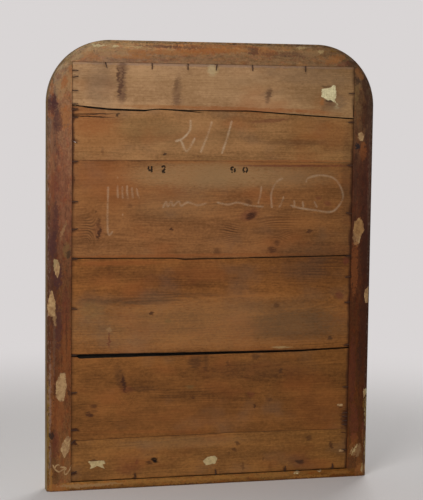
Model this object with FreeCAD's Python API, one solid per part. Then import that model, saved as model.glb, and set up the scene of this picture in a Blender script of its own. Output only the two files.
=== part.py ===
"""A framed wall mirror of the 19th-century French kind, with rounded top corners.

The frame stands upright, +Z up, with its origin at the middle of its base.
The glass looks towards -Y and the backboards towards +Y.
Left and right are as seen from the front: left is -X.

Two measures run across every member of the frame:
  inward  how far a point lies inside the outline, from the outer edge
  front   how far a point lies in front of the back plane, towards the glass
All lengths are in millimetres.
"""

import FreeCAD, Part

import math
import os

Vector = FreeCAD.Vector
os.makedirs("parts", exist_ok=True)

# Outline
width = 704.0
height = 938.0
corner_radius = 130.0

# Back land: the wood left between the outline and the rebate
land_left = 44.0
land_right = 50.0
land_top = 45.5
land_bottom = 17.5
bevel_width = 8.0
bevel_height = 4.0

# What lies in the rebate, counted from the back plane
board_recess = 2.5
board_thickness = 8.0
block_thickness = 12.2
silver_thickness = 0.3
glass_thickness = 4.0

# Front moulding, from the sight edge outwards and upwards
lip_thickness = 6.5
sight_quirk = 1.5
ogee_drop = 8.0
crest_step = 2.5
torus_width = 16.0
crest_width = 5.0
ogee_width = 26.0
seat_width = 13.0
gesso = 1.5
bead_radius = 3.6

# Joints of the frame
lap_depth = 18.0
lap_housing = 18.0
tongue_length = 15.0
tongue_thickness = 7.0
tongue_width = 24.0
tongue_edge = 12.0
tongue_front = 10.0
tongue_fit = 0.1

# Glass and what holds it
glass_side_gap = 5.0
glass_end_gap = 2.5
silver_margin = 1.0
pad_length = 40.0
block_length = 62.0
block_width = 14.0
block_chamfer = 5.0

# Backboards
board_end_gap = 1.0
crack_gap = 1.8
tight_gap = 0.4
open_gap = 1.6
lower_gap = 0.9

# Brads
brad_length = 22.0
brad_width = 1.6
brad_bite = 9.0
brad_point = 4.0
brad_tip = 0.5

overrun = 5.0
right_angle = 90

# Worked out from the sizes above
half_width = width / 2
lip_front = board_recess + board_thickness + block_thickness + silver_thickness + glass_thickness
seat_front = lip_front + lip_thickness
ogee_low = seat_front + sight_quirk
ogee_high = ogee_low + ogee_drop
depth = ogee_high + crest_step
shoulder = depth - torus_width
crest_edge = torus_width + crest_width
ogee_edge = crest_edge + ogee_width
moulding_width = ogee_edge + seat_width
arc_x = half_width - corner_radius
arc_z = height - corner_radius
back_y = depth / 2
rebate_left = land_left - half_width
rebate_right = half_width - land_right
rebate_low = land_bottom
rebate_high = height - land_top
rebate_width = rebate_right - rebate_left
rebate_height = rebate_high - rebate_low

# Places along the rebate: shares of its width run from left to right, shares of its height from the bottom up
split_shares = (
    (0, 0.874), (0.2, 0.882), (0.38, 0.89), (0.594, 0.889),
    (0.7, 0.892), (0.75, 0.889), (0.87, 0.891), (1, 0.899),
)
second_joint_shares = ((0, 0.765), (0.59, 0.771), (1, 0.771))
third_joint_shares = ((0, 0.537), (0.44, 0.534), (0.61, 0.533), (0.64, 0.536), (1, 0.539))
gap_upper_shares = ((0, 0.308), (0.18, 0.3045), (0.55, 0.3065), (1, 0.3095))
gap_lower_shares = ((0, 0.305), (0.18, 0.3005), (0.55, 0.3), (1, 0.3))
lowest_joint_shares = ((0, 0.101), (0.33, 0.1045), (0.72, 0.103), (1, 0.1))

# Each brad has its place along the side and its slant as a share of a right angle
brads_right_shares = (
    (0.98, 0), (0.964, 0.1), (0.933, 0), (0.902, 0), (0.889, 0.05), (0.871, 0),
    (0.817, -0.3), (0.767, 0.05), (0.673, 0), (0.607, 0.1), (0.538, 0), (0.42, -0.1),
    (0.308, 0), (0.217, 0.05), (0.127, 0), (0.094, 0.45), (0.022, 0.2),
)
brads_left_shares = (
    (0.935, 0), (0.866, 0.05), (0.76, 0), (0.641, -0.1), (0.536, 0), (0.485, 0.1), (0.421, 0),
    (0.315, 0.1), (0.208, 0), (0.143, 0.05), (0.133, -0.05), (0.123, 0.05), (0.113, 0), (0.048, -0.1),
)
brads_top_shares = ((0.888, 0.2), (0.727, 0), (0.602, 0), (0.5, -0.1), (0.374, 0.05), (0.182, 0))
brads_bottom_shares = ((0.775, 0), (0.486, 0.05), (0.233, -0.1), (0.054, 0))

side_block_shares = (0.08, 0.36, 0.64, 0.92)
end_block_shares = (0.2, 0.5, 0.8)
pad_shares = (0.25, 0.75)


def line(start, end):
    return Part.LineSegment(start, end).toShape()


def arc(start, middle, end):
    return Part.Arc(start, middle, end).toShape()


def box(low_x, high_x, low_z, high_z, near, far):
    """A block between two fronts, near and far, given as distances in front of the back plane."""
    corner = Vector(low_x, back_y - far, low_z)
    return Part.makeBox(high_x - low_x, far - near, high_z - low_z, corner)


def prism(points_xz, near, far):
    """A flat outline in x and z, given its thickness from near to far in front of the back plane."""
    corners = [Vector(x, back_y - near, z) for x, z in points_xz]
    face = Part.Face(Part.makePolygon(corners + corners[:1]))
    return face.extrude(Vector(0, near - far, 0))


def ogee_turn():
    """The radius of each of the ogee's two equal arcs, and half the angle that it turns through.

    The arcs are level at the ogee's ends and meet halfway.
    """
    half_run = ogee_width / 2
    half_drop = ogee_drop / 2
    radius = (half_run**2 + half_drop**2) / (2 * half_drop)
    return radius, math.asin(half_run / radius) / 2


def gilt_profile(place):
    """The gilt face of the moulding from the outer shoulder to the sight edge, as edges.

    place turns an inward and a front distance into a point.
    """
    slant = math.sqrt(1 / 2)
    crown = place(torus_width, depth)
    torus = place(torus_width * (1 - slant), shoulder + torus_width * slant)
    crest = place(crest_edge, depth)
    ogee_start = place(crest_edge, ogee_high)
    ogee_end = place(ogee_edge, ogee_low)
    radius, half_turn = ogee_turn()
    reach = radius * math.sin(half_turn)
    fall = radius * (1 - math.cos(half_turn))
    swell = place(crest_edge + reach, ogee_high - fall)
    middle = place(crest_edge + ogee_width / 2, ogee_high - ogee_drop / 2)
    hollow = place(ogee_edge - reach, ogee_low + fall)
    seat = place(ogee_edge, seat_front)
    sight = place(moulding_width, seat_front)
    return [
        arc(place(0, shoulder), torus, crown),
        line(crown, crest),
        line(crest, ogee_start),
        arc(ogee_start, swell, middle),
        arc(middle, hollow, ogee_end),
        line(ogee_end, seat),
        line(seat, sight),
        line(sight, place(moulding_width, lip_front)),
    ]


def wood_profile(place):
    """The wood under the gesso, from the outer shoulder to the sight edge, planed in flats.

    Every corner lies one coat of gesso under the gilt face.
    """
    slant = math.sqrt(1 / 2)
    torus_radius = torus_width - gesso
    radius, half_turn = ogee_turn()
    flat = radius * math.tan(half_turn)
    corners = [
        (0, shoulder),
        (gesso, shoulder),
        (torus_width - slant * torus_radius, shoulder + slant * torus_radius),
        (torus_width, depth - gesso),
        (crest_edge - gesso, depth - gesso),
        (crest_edge - gesso, ogee_high - gesso),
        (crest_edge - gesso + ogee_width / 2, ogee_high - gesso - ogee_drop / 2),
        (ogee_edge - gesso - flat, ogee_low - gesso),
        (ogee_edge - gesso, ogee_low - gesso),
        (ogee_edge - gesso, seat_front - gesso),
        (moulding_width - gesso, seat_front - gesso),
        (moulding_width - gesso, lip_front),
    ]
    return [place(inward, front) for inward, front in corners]


def wood_section(place, bevel=True):
    """The wood of a member before its rebate is cut. Only the bottom rail has no bevel."""
    heel = [place(bevel_width, 0), place(0, bevel_height)] if bevel else [place(0, 0)]
    toe = place(moulding_width - gesso, 0)
    outline = wood_profile(place) + [toe] + heel
    return Part.Face(Part.makePolygon(outline + outline[:1]))


def gesso_section(place):
    """The coat between the wood and the gilt face."""
    wood = wood_profile(place)
    outline = gilt_profile(place)
    outline += [line(start, end) for start, end in zip(wood, wood[1:])]
    outline.append(line(place(moulding_width, lip_front), wood[-1]))
    return Part.Face(Part.Wire(Part.sortEdges(outline)[0]))


def bead_section(place):
    """A half-round bead on the middle of the seat beside the sight edge."""
    middle = moulding_width - seat_width / 2
    start = place(middle - bead_radius, seat_front)
    crown = place(middle, seat_front + bead_radius)
    end = place(middle + bead_radius, seat_front)
    return Part.Face(Part.Wire([arc(start, crown, end), line(end, start)]))


def left_place(inward, front):
    return Vector(inward - half_width, back_y - front, 0)


def right_place(inward, front):
    return Vector(half_width - inward, back_y - front, 0)


def top_place(inward, front):
    return Vector(-arc_x, back_y - front, height - inward)


def bottom_place(inward, front):
    return Vector(-half_width, back_y - front, inward)


def swept(section, straight_only=False):
    """A section carried round the frame: two stiles, two corners, a top and a bottom piece, in that order."""
    left = section(left_place).extrude(Vector(0, 0, arc_z))
    right = section(right_place).extrude(Vector(0, 0, arc_z))
    top = section(top_place).extrude(Vector(2 * arc_x, 0, 0))
    bottom = section(bottom_place).extrude(Vector(width, 0, 0))
    if straight_only:
        return left, right, top, bottom
    start_left = section(left_place).translated(Vector(0, 0, arc_z))
    start_right = section(right_place).translated(Vector(0, 0, arc_z))
    corner_left = start_left.revolve(Vector(-arc_x, 0, arc_z), Vector(0, 1, 0), right_angle)
    corner_right = start_right.revolve(Vector(arc_x, 0, arc_z), Vector(0, -1, 0), right_angle)
    return left, right, corner_left, corner_right, top, bottom


def mitre_wedge(side, near, far):
    """The space below the 45-degree line from a bottom corner. side is -1 at the left and 1 at the right."""
    reach = moulding_width + overrun
    inner = side * (half_width - reach)
    points = [(side * (half_width + overrun), -overrun), (inner, reach), (inner, -overrun)]
    return prism(points, near, far)


def bottom_mitres(near, far):
    """The space that the bottom member fills between its two mitres."""
    reach = moulding_width + overrun
    points = [
        (-half_width - overrun, -overrun),
        (-half_width + reach, reach),
        (half_width - reach, reach),
        (half_width + overrun, -overrun),
    ]
    return prism(points, near, far)


def whole_ring(section):
    """A section carried all round as one piece, mitred at the two bottom corners."""
    left, right, corner_left, corner_right, top, bottom = swept(section)
    behind = -overrun
    ahead = depth + overrun
    left = left.cut(mitre_wedge(-1, behind, ahead))
    right = right.cut(mitre_wedge(1, behind, ahead))
    bottom = bottom.common(bottom_mitres(behind, ahead))
    ring = left.fuse([corner_left, top, corner_right, right, bottom])
    return ring.removeSplitter()


def rebate():
    """The pocket for the glass and the boards, open at the back."""
    return box(rebate_left, rebate_right, rebate_low, rebate_high, -overrun, lip_front)


def rail_lap():
    """The back half of the bottom rail, which is housed in both stiles."""
    low_x = rebate_left - lap_housing
    high_x = rebate_right + lap_housing
    return box(low_x, high_x, 0, land_bottom, 0, lap_depth)


def stile(blank, side):
    """A stile with its rebate, its mitre in front, its housing behind and its tongue at the top."""
    wedge = mitre_wedge(side, lap_depth, depth + overrun)
    return blank.cut([rebate(), wedge, rail_lap()]).fuse(tongue(side, 0))


def tongue(side, fit):
    """The tongue that a stile sends up into its corner block."""
    inner = half_width - tongue_edge - tongue_width - fit
    outer = half_width - tongue_edge + fit
    low_x, high_x = (-outer, -inner) if side < 0 else (inner, outer)
    near = tongue_front - fit
    far = tongue_front + tongue_thickness + fit
    return box(low_x, high_x, arc_z, arc_z + tongue_length + fit, near, far)


def rail_tongue(side, fit):
    """The tongue that the top rail sends into a corner block."""
    end = side * (arc_x + tongue_length + fit)
    start = side * arc_x
    near = tongue_front - fit
    far = tongue_front + tongue_thickness + fit
    high_z = height - tongue_edge + fit
    low_z = high_z - tongue_width - 2 * fit
    return box(min(start, end), max(start, end), low_z, high_z, near, far)


def corner_block(blank, side):
    return blank.cut([rebate(), tongue(side, tongue_fit), rail_tongue(side, tongue_fit)])


def top_rail(blank):
    return blank.cut(rebate()).fuse([rail_tongue(-1, 0), rail_tongue(1, 0)])


def bottom_rail(blank):
    """The moulded front half runs to both mitres, and the back half is the lap."""
    front_half = blank.common(bottom_mitres(lap_depth, depth + overrun))
    return front_half.fuse(rail_lap()).cut(rebate()).removeSplitter()


def plain_wood(place):
    return wood_section(place, bevel=False)


def frame_members():
    """The six wooden members before the brads are driven."""
    left, right, block_left, block_right, top, _ = swept(wood_section)
    bottom = swept(plain_wood, straight_only=True)[3]
    return {
        "left_stile": stile(left, -1),
        "right_stile": stile(right, 1),
        "corner_block_left": corner_block(block_left, -1),
        "corner_block_right": corner_block(block_right, 1),
        "top_rail": top_rail(top),
        "bottom_rail": bottom_rail(bottom),
    }


def glass_and_silver():
    """The glass lies against the lip, with its silvering behind it."""
    low_x = rebate_left + glass_side_gap
    high_x = rebate_right - glass_side_gap
    low_z = rebate_low + glass_end_gap
    high_z = rebate_high - glass_end_gap
    glass_back = lip_front - glass_thickness
    glass = box(low_x, high_x, low_z, high_z, glass_back, lip_front)
    silver = box(
        low_x + silver_margin,
        high_x - silver_margin,
        low_z + silver_margin,
        high_z - silver_margin,
        glass_back - silver_thickness,
        glass_back,
    )
    return {"mirror_glass": glass, "silvering": silver}


def setting_pads():
    """Two slips of leather between the bottom of the rebate and the glass."""
    pads = []
    top = rebate_low + glass_end_gap
    near = lip_front - glass_thickness
    for share in pad_shares:
        low_x = rebate_left + share * rebate_width - pad_length / 2
        pads.append(box(low_x, low_x + pad_length, rebate_low, top, near, lip_front))
    return Part.makeCompound(pads)


def glass_block():
    """One glue block, lying along X from its middle: its wall is at inward 0 and its back at front 0."""
    outline = [
        Vector(0, 0, 0),
        Vector(0, 0, block_width - block_chamfer),
        Vector(0, -block_thickness + block_chamfer, block_width),
        Vector(0, -block_thickness, block_width),
        Vector(0, -block_thickness, 0),
    ]
    face = Part.Face(Part.makePolygon(outline + outline[:1]))
    block = face.extrude(Vector(block_length, 0, 0))
    return block.translated(Vector(-block_length / 2, 0, 0))


def placed(shape, turn, x, z, front):
    """Turns a shape about Y, then sets its own origin at x, z and a front distance."""
    copy = shape.copy()
    copy.rotate(Vector(0, 0, 0), Vector(0, 1, 0), turn)
    copy.translate(Vector(x, back_y - front, z))
    return copy


def glass_blocks():
    """Glue blocks on every wall of the rebate, pressing the glass against the lip."""
    front = board_recess + board_thickness
    block = glass_block()
    left, right, top, bottom = [], [], [], []
    for share in side_block_shares:
        z = rebate_low + share * rebate_height
        left.append(placed(block, right_angle, rebate_left, z, front))
        right.append(placed(block, -right_angle, rebate_right, z, front))
    for share in end_block_shares:
        x = rebate_left + share * rebate_width
        top.append(placed(block, 2 * right_angle, x, rebate_high, front))
        bottom.append(placed(block, 0, x, rebate_low, front))
    return {
        "glass_blocks_left": Part.makeCompound(left),
        "glass_blocks_right": Part.makeCompound(right),
        "glass_blocks_top": Part.makeCompound(top),
        "glass_blocks_bottom": Part.makeCompound(bottom),
    }


def joint_line(shares, shift):
    """A board's edge from left to right, moved up or down by shift."""
    points = []
    for across, up in shares:
        x = rebate_left + board_end_gap + across * (rebate_width - 2 * board_end_gap)
        z = rebate_low + up * rebate_height + shift
        points.append((x, z))
    return points


def board(lower_edge, upper_edge):
    """A board between two edges, each a list of points from left to right."""
    outline = lower_edge + upper_edge[::-1]
    return prism(outline, board_recess, board_recess + board_thickness)


def backboards():
    """The boards from the top down. The first is split in two along a crack that follows its grain."""
    ends = ((0, 0), (1, 0))
    bottom = joint_line(ends, board_end_gap)
    top = joint_line(ends, rebate_height - board_end_gap)
    return {
        "backboard_1_upper": board(joint_line(split_shares, crack_gap / 2), top),
        "backboard_1_lower": board(
            joint_line(second_joint_shares, tight_gap / 2),
            joint_line(split_shares, -crack_gap / 2),
        ),
        "backboard_2": board(
            joint_line(third_joint_shares, open_gap / 2),
            joint_line(second_joint_shares, -tight_gap / 2),
        ),
        "backboard_3": board(
            joint_line(gap_upper_shares, 0),
            joint_line(third_joint_shares, -open_gap / 2),
        ),
        "backboard_4": board(
            joint_line(lowest_joint_shares, lower_gap / 2),
            joint_line(gap_lower_shares, 0),
        ),
        "backboard_5": board(bottom, joint_line(lowest_joint_shares, -lower_gap / 2)),
    }


def brad():
    """A headless cut brad. It enters the wood at its origin, and its shank lies towards +Z on the boards."""
    half = brad_width / 2
    tip = brad_tip / 2
    outline = [
        (-half, brad_length - brad_bite),
        (half, brad_length - brad_bite),
        (half, brad_point - brad_bite),
        (tip, -brad_bite),
        (-tip, -brad_bite),
        (-half, brad_point - brad_bite),
    ]
    corners = [Vector(x, 0, z) for x, z in outline]
    face = Part.Face(Part.makePolygon(corners + corners[:1]))
    return face.extrude(Vector(0, brad_width, 0))


def side_brads(shares, x, quarters):
    """The brads driven into one side wall of the rebate."""
    nail = brad()
    driven = []
    for share, slant in shares:
        z = rebate_low + share * rebate_height
        driven.append(placed(nail, right_angle * (quarters + slant), x, z, board_recess))
    return Part.makeCompound(driven)


def end_brads(shares, z, quarters):
    """The brads driven into the top or bottom wall of the rebate."""
    nail = brad()
    driven = []
    for share, slant in shares:
        x = rebate_left + share * rebate_width
        driven.append(placed(nail, right_angle * (quarters + slant), x, z, board_recess))
    return Part.makeCompound(driven)


def brads():
    """The brads of each side, with their shanks lying on the boards."""
    return {
        "brads_left": side_brads(brads_left_shares, rebate_left, 1),
        "brads_right": side_brads(brads_right_shares, rebate_right, -1),
        "brads_top": end_brads(brads_top_shares, rebate_high, 2),
        "brads_bottom": end_brads(brads_bottom_shares, rebate_low, 0),
    }


def drive(members, nails):
    """Cuts the hole of every brad that reaches into a member."""
    holes = [solid for group in nails.values() for solid in group.Solids]
    driven = {}
    for name, member in members.items():
        near = [hole for hole in holes if hole.BoundBox.intersect(member.BoundBox)]
        driven[name] = member.cut(near) if near else member
    return driven


def build():
    nails = brads()
    nodes = drive(frame_members(), nails)
    nodes["gilt_moulding"] = whole_ring(gesso_section)
    nodes["sight_bead"] = whole_ring(bead_section)
    nodes.update(glass_and_silver())
    nodes["setting_pads"] = setting_pads()
    nodes.update(glass_blocks())
    nodes.update(backboards())
    nodes.update(nails)
    return nodes


for name, shape in build().items():
    shape.exportStep(f"parts/{name}.step")
    print(name, "solids", len(shape.Solids), "valid", shape.isValid(), "volume", round(shape.Volume))
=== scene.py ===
import math
import random

import bpy
import bmesh
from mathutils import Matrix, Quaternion, Vector, noise
from mathutils.bvhtree import BVHTree


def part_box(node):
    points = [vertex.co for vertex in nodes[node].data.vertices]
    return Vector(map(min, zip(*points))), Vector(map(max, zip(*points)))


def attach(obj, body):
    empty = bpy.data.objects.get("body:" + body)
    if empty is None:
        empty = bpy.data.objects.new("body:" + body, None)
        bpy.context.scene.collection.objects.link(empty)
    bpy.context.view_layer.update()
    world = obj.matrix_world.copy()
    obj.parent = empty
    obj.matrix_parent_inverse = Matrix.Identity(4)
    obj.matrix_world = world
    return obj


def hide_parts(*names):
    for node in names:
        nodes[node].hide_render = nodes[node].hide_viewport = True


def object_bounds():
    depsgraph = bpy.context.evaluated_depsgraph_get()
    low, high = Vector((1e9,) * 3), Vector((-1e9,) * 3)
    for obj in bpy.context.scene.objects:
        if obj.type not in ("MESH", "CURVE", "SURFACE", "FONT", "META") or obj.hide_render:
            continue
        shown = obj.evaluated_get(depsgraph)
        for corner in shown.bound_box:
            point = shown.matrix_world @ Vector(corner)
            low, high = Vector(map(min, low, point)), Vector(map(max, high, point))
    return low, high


# The looks of a framed wall mirror with rounded top corners, seen from its backboards.
# Places and sizes are in millimetres, in the part's own frame: +X is the right side as seen from the glass,
# which is the left side of the main view, and z is counted from the floor.
# Two measures run across the frame's members: inward, from the outline, and front, from the back plane.

MM = 0.001
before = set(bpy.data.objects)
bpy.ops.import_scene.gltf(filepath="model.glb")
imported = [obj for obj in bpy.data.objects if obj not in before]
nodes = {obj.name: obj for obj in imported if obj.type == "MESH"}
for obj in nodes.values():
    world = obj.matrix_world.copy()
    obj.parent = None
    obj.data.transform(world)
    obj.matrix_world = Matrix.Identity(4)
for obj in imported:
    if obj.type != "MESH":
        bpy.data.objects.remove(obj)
cad_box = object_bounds()
half_width, back_plane, height = (value / MM for value in cad_box[1])
corner_radius = 130.0
arc_x = half_width - corner_radius
arc_z = height - corner_radius

# The boards' reach, and the rebate that they leave a small gap to
end_gap = 1.0
board_low, board_high = (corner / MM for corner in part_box("backboard_3"))
boards_left, boards_right = board_low.x - end_gap, board_high.x + end_gap
boards_back = board_high.y
rebate_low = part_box("backboard_5")[0].z / MM - end_gap
rebate_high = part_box("backboard_1_upper")[1].z / MM + end_gap


def tone(red, green, blue):
    """A colour given by its screen values, as the linear numbers that shaders read."""
    shares = [value / 255 for value in (red, green, blue)]
    return (*(s / 12.92 if s <= 0.04045 else ((s + 0.055) / 1.055) ** 2.4 for s in shares), 1.0)


INKS = {
    "black": (26, 19, 15), "knot": (66, 38, 26), "stain": (84, 55, 46), "plum": (72, 42, 40),
    "wine": (104, 50, 38), "soot": (52, 36, 28), "rust": (60, 36, 24), "smoke": (108, 88, 72),
    "amber": (158, 100, 52), "orange": (148, 84, 42), "tan": (160, 124, 84), "straw": (186, 160, 112),
    "cream": (202, 186, 142), "grey": (112, 84, 66), "ochre": (128, 92, 40), "blue": (36, 34, 36),
    "moss": (116, 92, 54), "lilac": (142, 118, 106), "maroon": (60, 31, 20), "gold": (164, 114, 56),
}


def colour_of(shade):
    """What a shader reads for an ink's name, a tone or a socket."""
    shade = INKS[shade] if isinstance(shade, str) else shade
    return tone(*shade) if isinstance(shade, tuple) else shade


def add_node(tree, kind, inputs=None, **settings):
    """A shader node. Each of its inputs gets a value, a socket or a field."""
    made = tree.nodes.new("ShaderNode" + kind)
    for key, value in settings.items():
        setattr(made, key, value)
    for key, value in (inputs or {}).items():
        value = value.socket if isinstance(value, Field) else value
        if isinstance(value, bpy.types.NodeSocket):
            tree.links.new(value, made.inputs[key])
        else:
            made.inputs[key].default_value = value
    return made


class Field:
    """A number that varies over a surface. Its operators add shader nodes."""

    def __init__(self, paint, socket):
        self.paint = paint
        self.socket = socket

    def rise(self, start, end):
        """0 before start and 1 after end, with a smooth step between them. start may be the higher one."""
        if start > end:
            return 1 - self.rise(end, start)
        inputs = {"Value": self, "From Min": start, "From Max": end}
        return self.paint.field("MapRange", inputs, "Result", interpolation_type="SMOOTHSTEP")


def math_method(operation, swapped=False):
    """A method of Field that adds one math node."""
    def method(field, other=0.0):
        first, second = (other, field) if swapped else (field, other)
        return field.paint.math(operation, first, second)
    return method


SYMBOLS = {"add": "ADD", "sub": "SUBTRACT", "mul": "MULTIPLY", "truediv": "DIVIDE"}
WORDS = {"__abs__": "ABSOLUTE", "at_least": "MAXIMUM", "at_most": "MINIMUM", "root": "SQRT", "sine": "SINE"}
for word, operation in SYMBOLS.items():
    setattr(Field, f"__{word}__", math_method(operation))
    setattr(Field, f"__r{word}__", math_method(operation, swapped=True))
for word, operation in WORDS.items():
    setattr(Field, word, math_method(operation))


class Paint:
    """One material, written as calls that add nodes, with the colour laid so far.

    x, y and z are the surface's place in millimetres.
    """

    def __init__(self, name, colour=None):
        self.material = bpy.data.materials.new(name)
        self.material.use_nodes = True
        self.tree = self.material.node_tree
        self.tree.nodes.clear()
        self.colour = colour
        place = self.node("TexCoord").outputs["Object"]
        split = self.node("SeparateXYZ", {0: place})
        self.x, self.y, self.z = (Field(self, socket) * (1 / MM) for socket in split.outputs)

    def node(self, kind, inputs=None, **settings):
        return add_node(self.tree, kind, inputs, **settings)

    def field(self, kind, inputs, output=0, **settings):
        return Field(self, self.node(kind, inputs, **settings).outputs[output])

    def math(self, operation, first, second=0.0):
        return self.field("Math", {0: first, 1: second}, operation=operation)

    def vector(self, first, second, third=0.0):
        return self.node("CombineXYZ", {0: first, 1: second, 2: third}).outputs[0]

    def noise(self, first, second, third=0.0, detail=2.0, roughness=0.5):
        """Smooth noise of mean 0.5, one wave to each unit of the three coordinates."""
        place = self.vector(first, second, third)
        inputs = {"Vector": place, "Scale": 1.0, "Detail": detail, "Roughness": roughness}
        return self.field("TexNoise", inputs, "Fac")

    def waves(self, along, detail, roughness):
        inputs = {"W": along, "Scale": 1.0, "Detail": detail, "Roughness": roughness}
        return self.field("TexNoise", inputs, "Fac", noise_dimensions="1D")

    def cells(self, first, second, third):
        """How far a point lies from the nearest crack between cells, in cell widths."""
        inputs = {"Vector": self.vector(first, second, third), "Scale": 1.0}
        return self.field("TexVoronoi", inputs, "Distance", feature="DISTANCE_TO_EDGE")

    def attribute(self, name):
        return self.field("Attribute", {}, "Fac", attribute_name=name)

    def mix(self, share, first, second):
        """Two colours mixed, each an ink's name, a tone or a socket."""
        inputs = {0: share, 6: colour_of(first), 7: colour_of(second)}
        return self.node("Mix", inputs, data_type="RGBA").outputs[2]

    def lay(self, share, colour):
        self.colour = self.mix(share, self.colour, colour)

    def tint(self, share, factors):
        """Multiplies the colour by three factors, by share."""
        inputs = {0: self.colour, 1: factors}
        self.lay(share, self.node("VectorMath", inputs, operation="MULTIPLY").outputs[0])

    def shaded(self, colour, factor):
        """A colour made lighter or darker by a factor."""
        return self.node("VectorMath", {0: colour, "Scale": factor}, operation="SCALE").outputs[0]

    def bands(self, value, *stops):
        """A colour that runs through stops, each a place from 0 to 1 and a tone."""
        made = self.node("ValToRGB", {0: value})
        ramp = made.color_ramp
        while len(ramp.elements) < len(stops):
            ramp.elements.new(1.0)
        for element, (place, shade) in zip(ramp.elements, stops):
            element.position = place
            element.color = tone(*shade)
        return made.outputs[0]

    def spot(self, place, x, z, reach_x, reach_z, turn=0, edge=0.5):
        """1 inside an ellipse and 0 outside it, with a soft rim. place is a vector of x and z."""
        inputs = {"Vector": place, "Location": (x, z, 0), "Scale": (reach_x, reach_z, 1)}
        inputs["Rotation"] = (0, 0, math.radians(turn))
        turned = self.node("Mapping", inputs, vector_type="TEXTURE").outputs[0]
        far = self.field("VectorMath", {0: turned}, "Value", operation="LENGTH")
        return far.rise(1 + edge, 1 - edge)

    def finish(self, roughness, relief=None, relief_height=0.3, **constants):
        """Adds the shader. relief is a field from 0 to 1 that stands for relief_height millimetres."""
        inputs = {"Base Color": self.colour, "Roughness": roughness}
        inputs.update((key.replace("_", " "), value) for key, value in constants.items())
        if relief is not None:
            bump = {"Height": relief, "Strength": 1.0, "Distance": relief_height * MM}
            inputs["Normal"] = self.node("Bump", bump).outputs[0]
        self.shader = self.node("BsdfPrincipled", inputs)
        self.output = self.node("OutputMaterial", {"Surface": self.shader.outputs[0]})
        return self.material


def swing(base, *parts):
    """base, and on it how far each field lies from its mean of 0.5, times its weight."""
    for field, weight in parts:
        base = base + (field - 0.5) * weight
    return base


def around(paint):
    """A point's run round the outline, from the middle of the top, and how far it lies inside the outline.

    The run is counted down the right side with plus and down the left side with minus.
    """
    side = (abs(paint.x) - arc_x).at_least(0.0)
    top = (paint.z - arc_z).at_least(0.0)
    turn = paint.math("ARCTAN2", side, top)
    run = abs(paint.x).at_most(arc_x) + turn * corner_radius + (arc_z - paint.z).at_least(0.0)
    inward = corner_radius - (side * side + top * top).root()
    return run * paint.math("SIGN", paint.x), inward


# Boards, from the top down: the light and dark tones of the wood, the place of the heart line across the
# board, how fast the rings open along it, where they close, and how strong they show.
BOARDS = {
    "backboard_1_upper": ((188, 147, 106), (143, 106, 70), 905, 0.05, 420, 0.5),
    "backboard_1_lower": ((172, 125, 80), (120, 83, 48), 668, 0.05, 500, 0.6),
    "backboard_2": ((157, 105, 62), (108, 69, 38), 560, 0.07, -420, 0.8),
    "backboard_3": ((158, 101, 51), (101, 61, 28), 396, 0.10, 120, 1.0),
    "backboard_4": ((149, 96, 48), (97, 60, 28), 236, 0.08, -330, 0.8),
    "backboard_5": ((162, 109, 57), (110, 72, 36), 120, 0.06, 380, 0.7),
}

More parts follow.
